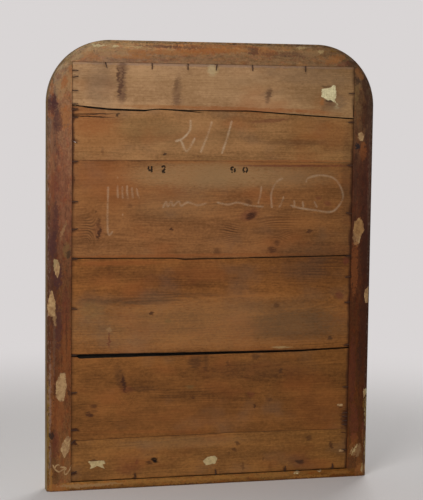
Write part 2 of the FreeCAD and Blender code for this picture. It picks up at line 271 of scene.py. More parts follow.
# Knots, stains, painted shade and painted light of the boards, by ink and softness: x, z, reach along, reach
# up, strength and turn
BOARD_MARKS = (
    ("amber", 0.85, ((-243, 812, 26, 22, 0.35, -20), (250, 742, 60, 34, 0.35), (-210, 760, 40, 22, 0.3),
        (230, 610, 70, 34, 0.25), (-160, 560, 90, 14, 0.3), (-40, 392, 60, 26, 0.3),
        (80, 384, 60, 12, 0.35, -4), (20, 300, 240, 8, 0.35, -1), (-90, 404, 50, 3, 0.5, -2),
        (245, 172, 22, 12, 0.3), (60, 150, 140, 26, 0.2))),
    ("knot", 0.85, ((-180, 730, 70, 6, 0.35), (40, 452, 230, 22, 0.2), (130, 396, 60, 5, 0.4, -3),
        # The broad wash at (-250, 850) is painted shade. It darkens the top board on the side away from the
        # light.
        (40, 408, 60, 5, 0.35, 2), (-240, 464, 110, 50, 0.3), (-250, 850, 90, 60, 0.22))),
    ("moss", 0.85, ((150, 760, 60, 20, 0.3), (0, 668, 60, 24, 0.3), (260, 380, 24, 18, 0.35))),
    ("orange", 0.85, ((260, 770, 50, 26, 0.45), (-262, 746, 40, 30, 0.3), (240, 664, 60, 30, 0.4),
        (200, 478, 90, 5, 0.5), (-240, 160, 60, 44, 0.25), (132, 118, 120, 3, 0.3, 2),
        (-238, 30, 40, 12, 0.4))),
    # The lilac strip along the top board's upper edge is painted light. It lightens the shade that the top
    # rail casts there.
    ("lilac", 0.85, ((0, 890, 300, 3.0, 0.5),)),
    ("smoke", 0.85, ((240, 850, 26, 60, 0.25), (-200, 872, 90, 16, 0.25), (-262, 816, 24, 18, 0.45))),
    ("soot", 0.85, ((-150, 668, 130, 16, 0.12), (-210, 500, 90, 16, 0.25), (-296, 640, 12, 120, 0.35),
        (220, 398, 60, 6, 0.4, 3), (-150, 384, 80, 10, 0.25), (-190, 340, 100, 30, 0.55),
        (198, 236, 10, 26, 0.35, -14), (150, 211, 30, 6, 0.3), (36, 264, 14, 12, 0.5),
        # The spot at (-251, 818.5) is a painted shadow under the torn paper scrap.
        (-251, 818.5, 7, 3, 0.7), (-246, 850, 12, 2.4, 0.5), (12, 258, 5, 16, 0.3),
        (-120, 244, 120, 20, 0.3), (-299, 122, 6, 50, 0.25))),
    ("stain", 0.85, ((197, 880, 12, 10, 0.5), (198, 822, 12, 9, 0.35), (82, 834, 8, 34, 0.42, 6),
        (79, 812, 12, 14, 0.2), (-116, 829, 6, 17, 0.45, 12), (-118, 834, 20, 5, 0.3, -10))),
    ("tan", 0.85, ((160, 866, 60, 16, 0.22), (-150, 656, 110, 22, 0.35), (-269, 820, 9, 9, 0.35),
        (-30, 850, 110, 26, 0.25), (60, 740, 90, 30, 0.2), (20, 660, 150, 26, 0.65),
        (30, 346, 330, 52, 0.28), (80, 600, 90, 30, 0.2), (60, 92, 120, 12, 0.25))),
    ("wine", 0.85, ((-120, 776, 40, 4, 0.45, -5), (-78, 577, 20, 11, 0.5, -20), (246, 548, 10, 16, 0.2),
        (184, 210, 12, 8, 0.35), (178, 40, 26, 12, 0.3), (-201, 42, 20, 14, 0.35))),
    ("amber", 0.65, ((120, 803, 80, 4, 0.45), (70, 689, 60, 3, 0.4), (-150, 685, 110, 2.4, 0.5),
        (-235.5, 817, 4.5, 7, 0.7))),
    ("cream", 0.65, ((7, 880, 9, 12, 0.4), (-268, 812, 1.8, 3.4, 0.6), (-266, 806, 7, 3, 0.3))),
    ("knot", 0.65, ((203, 838, 4, 14, 0.7, 8), (206, 868, 3, 16, 0.7, -5), (197, 860, 2.4, 22, 0.6, 3),
        (84, 850, 5, 12, 0.3, 10), (35, 701, 2.4, 2, 0.5), (-118, 832, 4, 12, 0.4, 20),
        (-250, 806, 16, 8, 0.3, -12), (238, 712, 3, 8, 0.3), (-82, 575, 12, 7, 0.9, -24),
        (-76, 604, 8, 5, 0.5, 20), (244, 541, 3.6, 13, 0.9, 14), (246, 562, 4, 12, 0.5),
        (91, 548, 3.6, 3.2, 0.9), (-212, 541, 5.5, 4, 0.7, -10), (-140, 516, 7, 6, 0.5),
        (-9, 500, 8, 7, 0.5), (-129, 502, 9, 7, 0.65), (180, 597, 5, 4, 0.4), (252, 585, 3, 3, 0.5),
        (131, 371, 4.6, 4.2, 0.8), (-141.5, 383, 6, 5, 0.5), (191, 224, 4, 17, 0.9, -12),
        (263, 161, 8, 6, 0.85, 18), (253, 177, 7, 4, 0.6), (252, 167, 6, 3, 0.35), (38, 188, 4, 3, 0.5),
        (-129, 177, 6, 4, 0.35), (-96.5, 164, 3, 4, 0.75), (134, 51, 7, 4, 0.7, 20), (253, 62, 8, 3, 0.7),
        (-59, 85, 6, 3.6, 0.65, 30), (-53, 71.6, 6, 4, 0.6, 20), (-40, 63.7, 4, 4, 0.4, 20),
        (-133, 30, 4, 9, 0.25), (-220, 88.7, 6, 5.5, 0.5), (-271.6, 71.6, 3.6, 8, 0.7, -16),
        (-72, 34, 3.4, 9, 0.45), (-117, 48, 2.6, 4, 0.5))),
    ("moss", 0.65, ((96, 354, 6, 4, 0.4), (47, 211, 8, 4, 0.45))),
    # These orange lines lie along the joints. They are partly the paler wood of worn edges and partly painted
    # highlight where those edges catch the light.
    ("orange", 0.65, ((-60, 799, 150, 5, 0.55, 1), (-220, 796, 60, 5, 0.35, 4), (-160, 691, 150, 2.4, 0.5),
        (60, 492, 250, 3.4, 0.45))),
    ("black", 0.65, ((122, 56.5, 8, 5, 1.0, 22),)),
    ("maroon", 0.65, ((290, 129, 7, 3, 0.85, 12), (291.5, 100.5, 8, 3, 0.9, 38),
        (293.5, 37.5, 6, 2.6, 0.7, 14), (-291, 154.5, 5, 1.3, 0.7), (-301, 146, 5, 1.5, 0.65),
        (-295, 137.5, 8, 1.2, 0.6, -3), (-296, 128, 7, 1.2, 0.6, 4), (-298, 119.5, 6, 1.3, 0.6, -4),
        (-297, 110.5, 5, 1.2, 0.6), (-299, 98, 7, 1.6, 0.8, 3))),
    ("soot", 0.65, ((107, 705, 2.6, 2.6, 0.8), (207, 785, 3.4, 3.8, 0.85), (-96, 272, 8, 6, 0.5),
        (-154, 241, 5, 6, 0.5), (-35.5, 259, 3, 8, 0.35), (-264, 308, 5, 5, 0.6),
        (-201, 37.5, 11, 4, 0.75, 4), (260, 786.4, 46, 1.1, 0.8, -1), (260, 781, 46, 1.1, 0.8, 2))),
    ("stain", 0.65, ((198.5, 852, 9, 42, 0.5),)),
    ("straw", 0.65, ((-2, 880, 6, 9, 0.35, 20), (-156, 291, 20, 2.2, 0.45, 1))),
    ("tan", 0.65, ((-258, 800, 16, 8, 0.4, 10), (222, 338, 4, 6, 0.6))),
    ("wine", 0.65, ((-180, 681, 130, 2, 0.6), (-232, 612, 6, 4, 0.4), (-252, 600, 9, 5, 0.45, 20),
        (222, 318, 2.4, 16, 0.6), (-87, 190, 8, 6, 0.4), (160, 54, 4, 5, 0.5), (-283, 401, 9, 7, 0.5),
        (-297, 475, 6, 8, 0.6))),
)

# Close ripples in the grain beside knots: x, z, reach along, reach up, strength
RIPPLES = (
    (-146, 550, 24, 24, 0.7), (-40, 542, 22, 18, 0.65), (-137, 565, 50, 9, 0.6), (268, 552, 16, 26, 0.6),
    (120, 566, 40, 10, 0.3), (-236, 470, 50, 40, 0.3), (120, 402, 60, 16, 0.35), (-214, 300, 60, 10, 0.25),
    (70, 200, 80, 30, 0.2),
)
ripple_pitch = 5.6

# Knots bend the grain where the product of their reaches lies between two limits. The bend goes knot_pull
# times as far as the knot.
bend_limits = (30, 300)
knot_pull = 3.4
wood_sheen = 0.1


def box_of(name):
    """A node's reach as its lowest x and z and its highest x and z."""
    corner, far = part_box(name)
    return corner.x / MM, corner.z / MM, far.x / MM, far.z / MM


def lay_marks(paint, place, marks, box, grain, rim):
    """Lays the marks of a table that reach into a box.

    The grain, a field of mean 1, frays them. rim holds the shares at which a frayed mark starts and is full.
    """
    low_x, low_z, high_x, high_z = box
    for ink, soft, spots in marks:
        for x, z, reach_x, reach_z, strength, *turn in spots:
            if low_x - reach_x < x < high_x + reach_x and low_z - reach_z < z < high_z + reach_z:
                share = paint.spot(place, x, z, reach_x, reach_z, *turn, edge=soft)
                paint.lay((share * grain).rise(*rim) * strength, ink)


def pine(name, board, rust=(), stroke=None):
    """A board's aged pine, stained at rusty places, or with a stroke on it that a function lays."""
    paint = Paint(name)
    light, dark, heart, opening, close, contrast = BOARDS[board]
    box = box_of(board)
    _, low_z, _, high_z = box
    seed = heart / 37
    x, y, z, cloud = paint.x, paint.y, paint.z, paint.noise
    plain = paint.vector(x, z)
    line = z + (cloud(x / 260, z / 40, seed) - 0.5) * 22
    for ink, _, spots in BOARD_MARKS:
        for cx, cz, reach_x, reach_z, _, *turn in spots:
            bends = bend_limits[0] < reach_x * reach_z < bend_limits[1]
            if ink == "knot" and bends and low_z - 3 < cz < high_z + 3:
                reach = reach_x * knot_pull, reach_z * knot_pull
                line = line - paint.spot(plain, cx, cz, *reach, *turn, edge=0.9) * (z - cz) * 0.7
    across = line - heart
    along = (x - close) * opening
    rings = (across * across + along * along).root()
    year = paint.waves(rings * 0.36 + seed, 2.0, 0.6)
    fine = cloud(x / 12, z * 1.1, y * 1.1 + seed, 3.0, 0.65)
    mottle = cloud(x / 6, z / 4.5, y / 5 + seed, 3.0, 0.6)
    fibre = cloud(x / 70, z * 0.42, y * 0.42 + seed)
    broad = cloud(x / 190, z / 26, seed, 3.0)
    patch = cloud(x / 70, z / 46, seed + 9, 4.0, 0.6)
    share = swing(0.5, (year, 0.5 * contrast), (fine, 0.6), (fibre, 0.5), (broad, 0.8), (patch, 0.9))
    share = swing(share, (mottle, 0.85))
    paint.colour = paint.mix(share.rise(0.0, 1.0), dark, light)
    paint.lay(cloud(x / 120, z / 60, seed + 21, 3.0).rise(0.5, 0.72) * 0.4, "orange")
    paint.lay(cloud(x / 90, z / 70, seed + 33, 3.0).rise(0.52, 0.75) * 0.3, "smoke")
    # Painted shade: the boards grow darker and yellower towards -X, the side away from the light.
    paint.tint(x.rise(-40.0, -280.0), (0.93, 0.92, 0.82))
    ripple = ((line * (2 * math.pi / ripple_pitch)).sine() * 0.5 + 0.5).rise(0.3, 0.9)
    for cx, cz, reach_x, reach_z, strength in RIPPLES:
        if low_z - 5 < cz < high_z + 5:
            paint.lay(paint.spot(plain, cx, cz, reach_x, reach_z, edge=0.8) * ripple * strength, "rust")
    ragged_x = swing(x, (cloud(x / 14, z / 4, seed + 3), 14))
    ragged_z = swing(z, (cloud(x / 14, z / 5, seed + 5), 5))
    ragged = paint.vector(ragged_x, ragged_z)
    fray = cloud(x / 9, z / 1.6, seed + 60, 3.0, 0.6) * 2.6 - 0.3
    lay_marks(paint, ragged, BOARD_MARKS, box, fray, (0.05, 0.95))
    paint.lay(cloud(x / 5, z / 3, seed + 40).rise(0.70, 0.78) * 0.5, "rust")
    for cx, cz, reach_x, reach_z, strength in rust:
        if low_z - 8 < cz < high_z + 8:
            paint.lay(paint.spot(ragged, cx, cz, reach_x, reach_z, edge=0.7) * strength, "maroon")
    # Darker along the edges and towards both ends, and damp that has crept in at both ends
    edge = z - low_z if board == "backboard_1_upper" else (z - low_z).at_most(high_z - z)
    from_left, from_right = x - boards_left, boards_right - x
    grime = cloud(x / 30, z / 30, seed + 50, 3.0)
    rim = (edge - grime * 9).rise(-1.0, -4.5) * 0.4
    rim = rim.at_least((from_right - grime * 14).rise(-2.0, -9.0) * 0.45)
    paint.lay(rim.at_least((from_left - grime * 16).rise(0.0, -9.0) * 0.75), "rust")
    fringe = swing(0.0, (grime, 10), (mottle, 8))
    damp = (from_right - fringe).rise(8.0, 3.0) * z.rise(812.0, 785.0) * (z.rise(500.0, 700.0) * 0.55 + 0.25)
    damp = damp.at_least((from_left - fringe).rise(8.0, 2.0) * z.rise(760.0, 690.0) * 0.6)
    paint.lay(damp, "maroon")
    # Painted shade: the boards' sides in the gaps and the walls of the cracks, deeper than the back face, are
    # coloured black.
    paint.lay((boards_back - y).rise(1.2, 3.0) * 0.85, "black")
    if stroke:
        stroke(paint, abs(paint.attribute("across")))
    relief = fine * 0.5 + year * 0.3 + fibre * 0.2
    return paint.finish(swing(0.66, (patch, 0.3)), relief, Specular_IOR_Level=wood_sheen)


def chalk(strength):
    """A function that lays chalk dust on the grain, thinner from a stroke's middle to its rim."""
    def stroke(paint, side):
        dust = paint.noise(paint.x / 3, paint.z / 1.2, 5.0, 3.0, 0.6)
        worn = paint.noise(paint.x / 26, paint.z / 26, 6.0, 3.0)
        dusty = swing(0.55, (dust, 2.4), (worn, 1.8)).at_least(0.0).at_most(1.0)
        paint.lay(dusty * side.rise(1.0, 0.0) * strength, (206, 180, 148))
    return stroke


def stencil_ink(paint, side):
    """Lays old stencil ink, sunk into the wood."""
    fade = paint.noise(paint.x / 4, paint.z / 2, 5.0, 3.0, 0.6)
    paint.lay((fade - side * 0.1).rise(0.26, 0.42) * 0.95, "black")


MEMBERS = ("left_stile", "right_stile", "corner_block_left", "corner_block_right", "top_rail", "bottom_rail")

# Tones of the frame's wood round its outline: the run, the tone by the outer edge, the tone by the rebate
FRAME_TONES = (
    (-1234, (106, 68, 34), (124, 78, 38)), (-1140, (84, 47, 21), (94, 55, 23)),
    (-960, (72, 37, 16), (82, 43, 17)), (-740, (62, 34, 23), (80, 45, 26)),
    (-560, (76, 43, 31), (85, 50, 33)), (-410, (79, 58, 42), (110, 80, 51)),
    (-290, (107, 80, 53), (126, 95, 64)), (-150, (145, 110, 72), (136, 103, 70)),
    (60, (168, 122, 79), (142, 106, 72)), (230, (159, 127, 89), (145, 112, 84)),
    (350, (146, 118, 88), (146, 106, 70)), (440, (106, 77, 61), (136, 96, 68)),
    (540, (128, 87, 61), (138, 95, 67)), (660, (100, 62, 46), (121, 77, 53)),
    (800, (82, 50, 35), (101, 64, 38)), (950, (95, 56, 33), (108, 65, 36)),
    (1090, (94, 57, 33), (116, 74, 42)), (1234, (116, 78, 43), (136, 94, 55)),
)
tones_reach = 1240.0

# Stains, chips and worn places of the frame, with painted highlights on one bevel, written as those of the
# boards
FRAME_MARKS = (
    ("amber", 0.85, ((316, 782, 12, 24, 0.5), (-340, 14, 14, 12, 0.5), (-262, 908, 24, 9, 0.5, -14))),
    ("grey", 0.85, ((268, 888, 22, 8, 0.3), (60, 902, 90, 7, 0.2), (-347, 640, 5, 150, 0.35))),
    ("knot", 0.85, ((335, 40, 14, 30, 0.12),)),
    ("moss", 0.85, ((312, 504, 8, 18, 0.5), (306, 892, 22, 6, 0.45, 40), (-312, 836, 6, 20, 0.4))),
    ("orange", 0.85, ((330, 166, 14, 40, 0.35), (312, 300, 9, 70, 0.25), (344, 792, 8, 16, 0.5),
        (-330, 712, 8, 20, 0.5), (-316, 460, 8, 60, 0.4), (296, 872, 16, 12, 0.5, 30), (20, 920, 60, 6, 0.6),
        (-106, 918, 30, 8, 0.4), (-324, 84, 8, 14, 0.4))),
    ("plum", 0.85, ((342, 806, 10, 22, 0.8), (331, 770, 9, 26, 0.6), (336, 706, 8, 30, 0.3),
        (337, 570, 8, 40, 0.5), (342, 520, 9, 30, 0.7), (329, 345, 8, 44, 0.65), (-80, 922, 14, 9, 0.55))),
    ("maroon", 0.85, ((-330, 640, 10, 70, 0.35), (-338, 520, 9, 60, 0.55), (-338, 320, 9, 90, 0.5),
        (-332, 790, 10, 26, 0.5), (-330, 858, 8, 16, 0.55), (-328, 826, 12, 20, 0.45))),
    ("soot", 0.85, ((-314, 660, 5, 50, 0.35), (-318, 30, 14, 18, 0.35), (-330, 250, 6, 50, 0.3),
        (-300, 900, 20, 8, 0.5, -35), (-130, 9, 60, 4, 0.3))),
    ("stain", 0.85, ((120, 927, 44, 3.4, 0.6), (66, 926, 46, 3.4, 0.55), (-160, 916, 60, 6, 0.4),
        (160, 898, 60, 6, 0.2))),
    ("tan", 0.85, ((320, 546, 3, 20, 0.45, 17), (326, 836, 10, 22, 0.5), (310, 852, 8, 20, 0.45),
        (-206, 920, 22, 8, 0.45), (-330, 58, 10, 15, 0.5, 16))),
    ("wine", 0.85, ((340, 640, 8, 30, 0.5), (322, 660, 14, 60, 0.3), (314, 380, 8, 50, 0.35),
        (334, 100, 8, 30, 0.45), (-316, 230, 8, 80, 0.35), (-322, 120, 10, 40, 0.4),
        (-280, 896, 16, 6, 0.4, -18))),
    ("amber", 0.65, ((334, 8, 24, 7, 0.7), (-322, 540, 6, 30, 0.65, 6), (262, 904, 22, 7, 0.3, 20),
        (176, 904, 50, 4, 0.5), (-20, 922, 60, 4, 0.5), (-318, 62, 4, 16, 0.35), (90, 914, 80, 5, 0.5),
        (-318, 878, 8, 14, 0.35, -30), (-336, 30, 8, 14, 0.2))),
    ("blue", 0.65, ((-317, 723.5, 6, 6, 0.9, 20),)),
    ("cream", 0.65, ((-322, 748, 4, 4, 0.7), (247, 926, 14, 2.2, 0.6), (213, 925.5, 9, 2.2, 0.6))),
    ("gold", 0.65, ((150, 12, 110, 3, 0.5), (-20, 11, 80, 2.4, 0.55), (-140, 10, 50, 3, 0.6),
        (-225, 5, 50, 2.6, 0.6), (60, 5, 60, 2, 0.4), (-290, 10, 26, 3, 0.4), (344, 30, 3, 26, 0.6))),
    ("grey", 0.65, ((346, 757, 3, 22, 0.6, 3), (343, 720, 3, 16, 0.5), (338, 300, 3, 80, 0.35, 1))),
    ("ochre", 0.85, ((350, 130, 3.2, 110, 0.9), (-350, 115, 2.6, 70, 0.7))),
    # The lilac strips on the +X stile's bevel are a painted highlight along its arris.
    ("lilac", 0.85, ((346, 200, 2.6, 95, 0.45), (345.5, 70, 2.4, 34, 0.3))),
    ("amber", 0.85, ((343, 200, 5, 90, 0.25), (343, 660, 5, 120, 0.15))),
    ("ochre", 0.65, ((-345, 160, 3, 14, 0.6), (-258, 926, 8, 4, 0.6, -10), (-343, 20, 3, 9, 0.7),
        (-344, 92, 3, 18, 0.6))),
    ("orange", 0.65, ((318, 850, 6, 14, 0.55, 20), (344, 836, 4, 26, 0.5), (0, 930, 110, 2.4, 0.4))),
    ("plum", 0.65, ((330, 452, 9, 26, 0.75, 4), (340, 812, 7, 14, 0.6))),
    ("rust", 0.65, ((306, 208, 4, 6, 0.7), (312, 330, 2, 60, 0.4), (60, 1, 300, 1.6, 0.6))),
    ("soot", 0.65, ((342.6, 119, 6, 8.5, 0.9), (308, 498, 5, 10, 0.7), (-312, 862, 7, 9, 0.6),
        (-120, 935, 200, 1.6, 0.5), (120, 935, 100, 1.4, 0.4))),
    ("straw", 0.65, ((-230, 923, 8, 4, 0.5), (172, 925, 16, 1.8, 0.5), (-186, 930, 12, 2.6, 0.6),
        (-349, 150, 1.6, 40, 0.6), (-349.5, 66, 1.5, 20, 0.7), (-343.5, 18, 2, 9, 0.6))),
    ("tan", 0.65, ((338, 370, 4, 20, 0.6, -8), (231, 911, 17, 9, 0.5), (198, 912, 14, 9, 0.5),
        (-319, 530, 8, 20, 0.5))),
    ("amber", 0.35, ((167, 913, 20, 8, 0.4),)),
    ("wine", 0.65, ((-345, 100, 5, 24, 0.5), (330, 862, 7, 6, 0.4, 30))),
    ("cream", 0.35, ((-193, 15.5, 7, 2.4, 0.85), (-244, 15.5, 5, 2, 0.8), (-347, 187, 4, 7, 0.9))),
    ("straw", 0.35, ((334, 476, 6, 13, 0.6), (-344, 402, 3.4, 12, 0.7), (-324.5, 59.5, 1.8, 14, 0.85, 28),
        (-318, 58, 1.3, 9, 0.6, 26), (-351, 22, 1.2, 22, 0.6))),
    ("tan", 0.35, ((-324, 744, 7, 9, 0.85), (290, 11, 40, 3.4, 0.7), (225, 11.5, 36, 2.4, 0.6),
        (262, 8, 44, 2.2, 0.7, -2))),
)

# How far inside the outline the wall of the rebate begins, where painted shade colours it black, and the same
# on the bottom rail
WALL_START = (41.0, 43.0)
RAIL_WALL_START = (16.4, 17.2)

# Moves the bottom rail's grain away from that of the other members
rail_shift = 2000.0


def member_wood(name):
    """Softwood under an old brown stain, with worn arrises and a side painted in ochre."""
    paint = Paint(name + "_wood")
    x, z, cloud = paint.x, paint.z, paint.noise
    front = back_plane - paint.y
    foot = name == "bottom_rail"
    run, inward = (x + rail_shift, z) if foot else around(paint)

    def streaks(along, across, deep, seed, detail=4.0, roughness=0.5):
        return cloud(run / along, inward / across, front / deep + seed, detail, roughness)

    patch = streaks(22, 9, 12, 0.0, 4.0, 0.62)
    if foot:
        paint.colour = paint.mix(inward.rise(2.0, 14.0), (122, 81, 37), (150, 104, 52))
        paint.tint(x.rise(-150.0, -260.0), (0.72, 0.61, 0.44))
    else:
        place = run / (2 * tones_reach) + 0.5
        stops = [(0.5 + stop / (2 * tones_reach), outer, inner) for stop, outer, inner in FRAME_TONES]
        outer = paint.bands(place, *((stop, shade) for stop, shade, _ in stops))
        inner = paint.bands(place, *((stop, shade) for stop, _, shade in stops))
        paint.colour = paint.mix(swing(inward, (patch, 24)).rise(15.0, 26.0), outer, inner)
    fibre = cloud(run / 50, inward * 0.5, front * 0.5, 3.0)
    fine = cloud(run / 9, inward * 1.1, front * 1.1, 3.0, 0.65)
    mottle = streaks(4.5, 3.5, 4, 0.0, 3.0, 0.62)
    blot = streaks(11, 6.5, 8, 2.0, 4.0, 0.7)
    factor = swing(1.0, (fibre, 0.5), (fine, 0.4), (patch, 0.8), (mottle, 0.9), (blot, 0.95))
    paint.colour = paint.shaded(paint.colour, factor.at_least(0.3))
    paint.tint(streaks(22, 8, 8, 4.0, 4.0, 0.65).rise(0.52, 0.6) * 0.5, (1.24, 0.96, 0.68))
    paint.tint(streaks(18, 9, 9, 9.0, 4.0, 0.65).rise(0.52, 0.58) * 0.5, (0.96, 0.72, 0.74))
    cover = swing(streaks(14, 7, 16, 4.0, 5.0, 0.7), (fibre, 0.3)).rise(0.54, 0.58)
    paint.tint(cover * 0.5, (0.62, 0.56, 0.56))
    ragged_x = swing(x, (cloud(x / 6, z / 9, 3.0, 4.0, 0.7), 13))
    ragged_z = swing(z, (cloud(x / 6, z / 9, 5.0, 4.0, 0.7), 16))
    ragged = paint.vector(ragged_x, ragged_z)
    fray = cloud(x / 5, z / 6, 14.0, 4.0, 0.68) * 3.8 - 0.9
    lay_marks(paint, ragged, FRAME_MARKS, box_of(name), fray, (0.35, 0.7))
    if not foot:
        worn = streaks(22, 6, 6, 8.0)
        ochre = paint.mix(worn.rise(0.4, 0.62), "ochre", "moss")
        ochre = paint.mix(fibre.rise(0.6, 0.7) * 0.6, ochre, "tan")
        ochre = paint.mix(z.rise(140.0, 105.0) * x.rise(0.0, 100.0) * 0.5, ochre, "straw")
        ochre = paint.shaded(ochre, swing(0.76, (patch, 0.9), (fine, 0.5)).at_least(0.3))
        bevel = (inward - worn * 5).rise(6.0, 2.0)
        flake = streaks(11, 3.2, 3, 21.0, 4.0, 0.7)
        paint.tint(bevel * 0.8, (0.92, 1.0, 0.99))
        paint.lay(bevel * flake.rise(0.55, 0.62) * 0.5, "lilac")
        paint.lay(bevel * flake.rise(0.46, 0.38) * 0.6, "soot")
        paint.lay(inward.rise(0.9, 0.2) * front.rise(3.0, 5.0) * 0.9, ochre)
    paint.lay(cloud(x / 9, z / 9, 12.0, 3.0).rise(0.62, 0.74) * 0.4, "soot")
    # Painted shade: the rebate's walls, more than 3 mm in front of the back plane, are coloured black.
    wall = inward.rise(*(RAIL_WALL_START if foot else WALL_START))
    paint.lay(wall * front.rise(3.0, 5.0) * 0.75, "black")
    relief = fine * 0.3 + mottle * 0.2 + cover * 0.25 + patch * 0.25
    roughness = swing(0.66 - cover * 0.08, (patch, 0.25))
    return paint.finish(roughness, relief, 0.35, Specular_IOR_Level=wood_sheen)


# The turn between two faces, in degrees, from which their edge is worn, and the shift that keeps the
# silvering's face off the plane of the glass before it
sharp_edge = 28
silver_shift = 0.04
weld_gap = 0.01


def add_modifiers(name, kind, **settings):
    """Welds a CAD node's faces at their shared edges, and then changes them by one more modifier."""
    weld = nodes[name].modifiers.new("weld", "WELD")
    weld.merge_threshold = weld_gap * MM
    modifier = nodes[name].modifiers.new(kind.lower(), kind)
    for key, value in settings.items():
        setattr(modifier, key, value)


def dress(name, material, arris=None):
    """Gives a CAD node its material, and its edges a worn arris."""
    node = nodes[name]
    node.data.materials.clear()
    node.data.materials.append(material)
    if arris:
        sharp = math.radians(sharp_edge)
        add_modifiers(name, "BEVEL", width=arris * MM, segments=2, angle_limit=sharp, harden_normals=True)


def add_object(name, data):
    added = bpy.data.objects.new(name, data)
    bpy.context.scene.collection.objects.link(added)
    return added


def add_piece(name, vertices, faces, material, slot, replaced=None, crease=38, **attributes):
    """A mesh in millimetres that rides on the frame, in place of a CAD node or on top of them."""
    mesh = bpy.data.meshes.new(name)
    mesh.from_pydata([Vector(v) * MM for v in vertices], [], faces)
    mesh.update()
    for key, values in attributes.items():
        mesh.attributes.new(key, "FLOAT", "POINT").data.foreach_set("value", values)
    mesh.shade_smooth()
    mesh.set_sharp_from_angle(angle=math.radians(crease))
    mesh.materials.append(material)
    piece = add_object(name, mesh)
    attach(piece, "root")
    if replaced:
        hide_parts(replaced)
    return piece


def bridge(faces, first, second, count):
    """Adds the quads between two closed rings of count points, which start at first and at second."""
    for i in range(count):
        k = (i + 1) % count
        faces.append((first + i, second + i, second + k, first + k))


def wobble(*place):
    """Smooth noise from -1 to 1."""
    return noise.noise(Vector(place))


def edges_of(name):
    """A board's lower and upper edge on its back face, each a list of (x, z) from left to right."""
    columns = {}
    for vertex in nodes[name].data.vertices:
        x, y, z = (value / MM for value in vertex.co)
        if y > boards_back - 0.01:
            columns.setdefault(round(x, 1), set()).add(z)
    places = sorted(columns)
    ends = places[0], places[-1]
    lower, upper = ({(x, side(columns[x])) for x in ends} for side in (min, max))
    middle = (min(columns[ends[0]]) + max(columns[ends[0]])) / 2
    for x in places[1:-1]:
        for z in (min(columns[x]), max(columns[x])):
            (upper if z > middle else lower).add((x, z))
    return sorted(lower), sorted(upper)


def height_on(edge, x):
    """The height of an edge at x: one number, or points with straight runs between them."""
    if isinstance(edge, float):
        return edge
    for (x0, z0), (x1, z1) in zip(edge, edge[1:]):
        if x <= x1:
            return z0 + (z1 - z0) * (x - x0) / (x1 - x0)
    return edge[-1][1]


def steps(start, end, pitch=5.0, rim=(0, 0.5, 1.2, 2.4)):
    """Places from start to end, close together at both rims and about pitch apart between them."""
    reach = end - start - 2 * rim[-1]
    inner = max(2, round(reach / pitch))
    places = [start + r for r in rim[:-1]]
    places += [start + rim[-1] + reach * i / inner for i in range(inner + 1)]
    return places + [end - r for r in reversed(rim[:-1])]


# How the boards' visible edges fit their neighbours: the reach past the node's lower and upper edge, as one
# number or at places along x, then how worn the lower and the upper arris are
FITS = {
    "backboard_1_upper": (-0.1, 0.9, 0.7, 0.1),
    "backboard_1_lower": (
        0.1,
        ((-310, -0.7), (-60, -0.6), (0, -0.1), (136, -0.2), (150, -1.8), (272, -1.8), (280, -0.4),
         (310, -0.2)),
        0.25,
        0.7,
    ),
    "backboard_2": (-0.2, 0.05, 1.0, 0.25),
    "backboard_3": (-0.2, -0.2, 1.0, 1.0),
    "backboard_4": (0.2, ((-310, 0.0), (284, -1.0), (291, 3.5), (310, 3.5)), 0.4, 1.0),
    "backboard_5": (-0.6, 0.2, 0.9, 0.4),
}

# The boards' wear: how far it goes from an edge, how deep and how unevenly, and how uneven the edges and
# the face are. What a board's ends reach past its node fades out over end_fade.
wear_reach = 2.4
wear_depth = 0.9
wear_swing = 0.9
edge_wave = 0.15
face_wave = 0.12
end_wear = 0.35
end_fade = 6


def worn_drop(distance, wear):
    """How far a board's face lies below its plane near an edge, in millimetres."""
    reach = wear_reach * wear
    return 0.0 if distance >= reach else wear_depth * wear * (1 - distance / reach) ** 2


# How far the boards' ends reach past their nodes towards the stiles: side, lowest z, highest z, reach and
# how much it wavers. The first row that fits counts.
END_REACHES = (
    (-1, 786, 814, -0.7, 0.0), (-1, 815, height, 0.92, 0.0), (1, 810, height, 0.92, 0.0),
    (1, 380, 790, 0.2, 0.25), (-1, 0, height, 0.7, 0.25), (1, 0, height, 0.7, 0.25),
)


def end_reach(side, z):
    """How far a board's end reaches past its node at a height."""
    for at, low, high, reach, wave in END_REACHES:
        if at == side and low < z < high:
            return reach + wave * wobble(z / 30, side, 6.0)


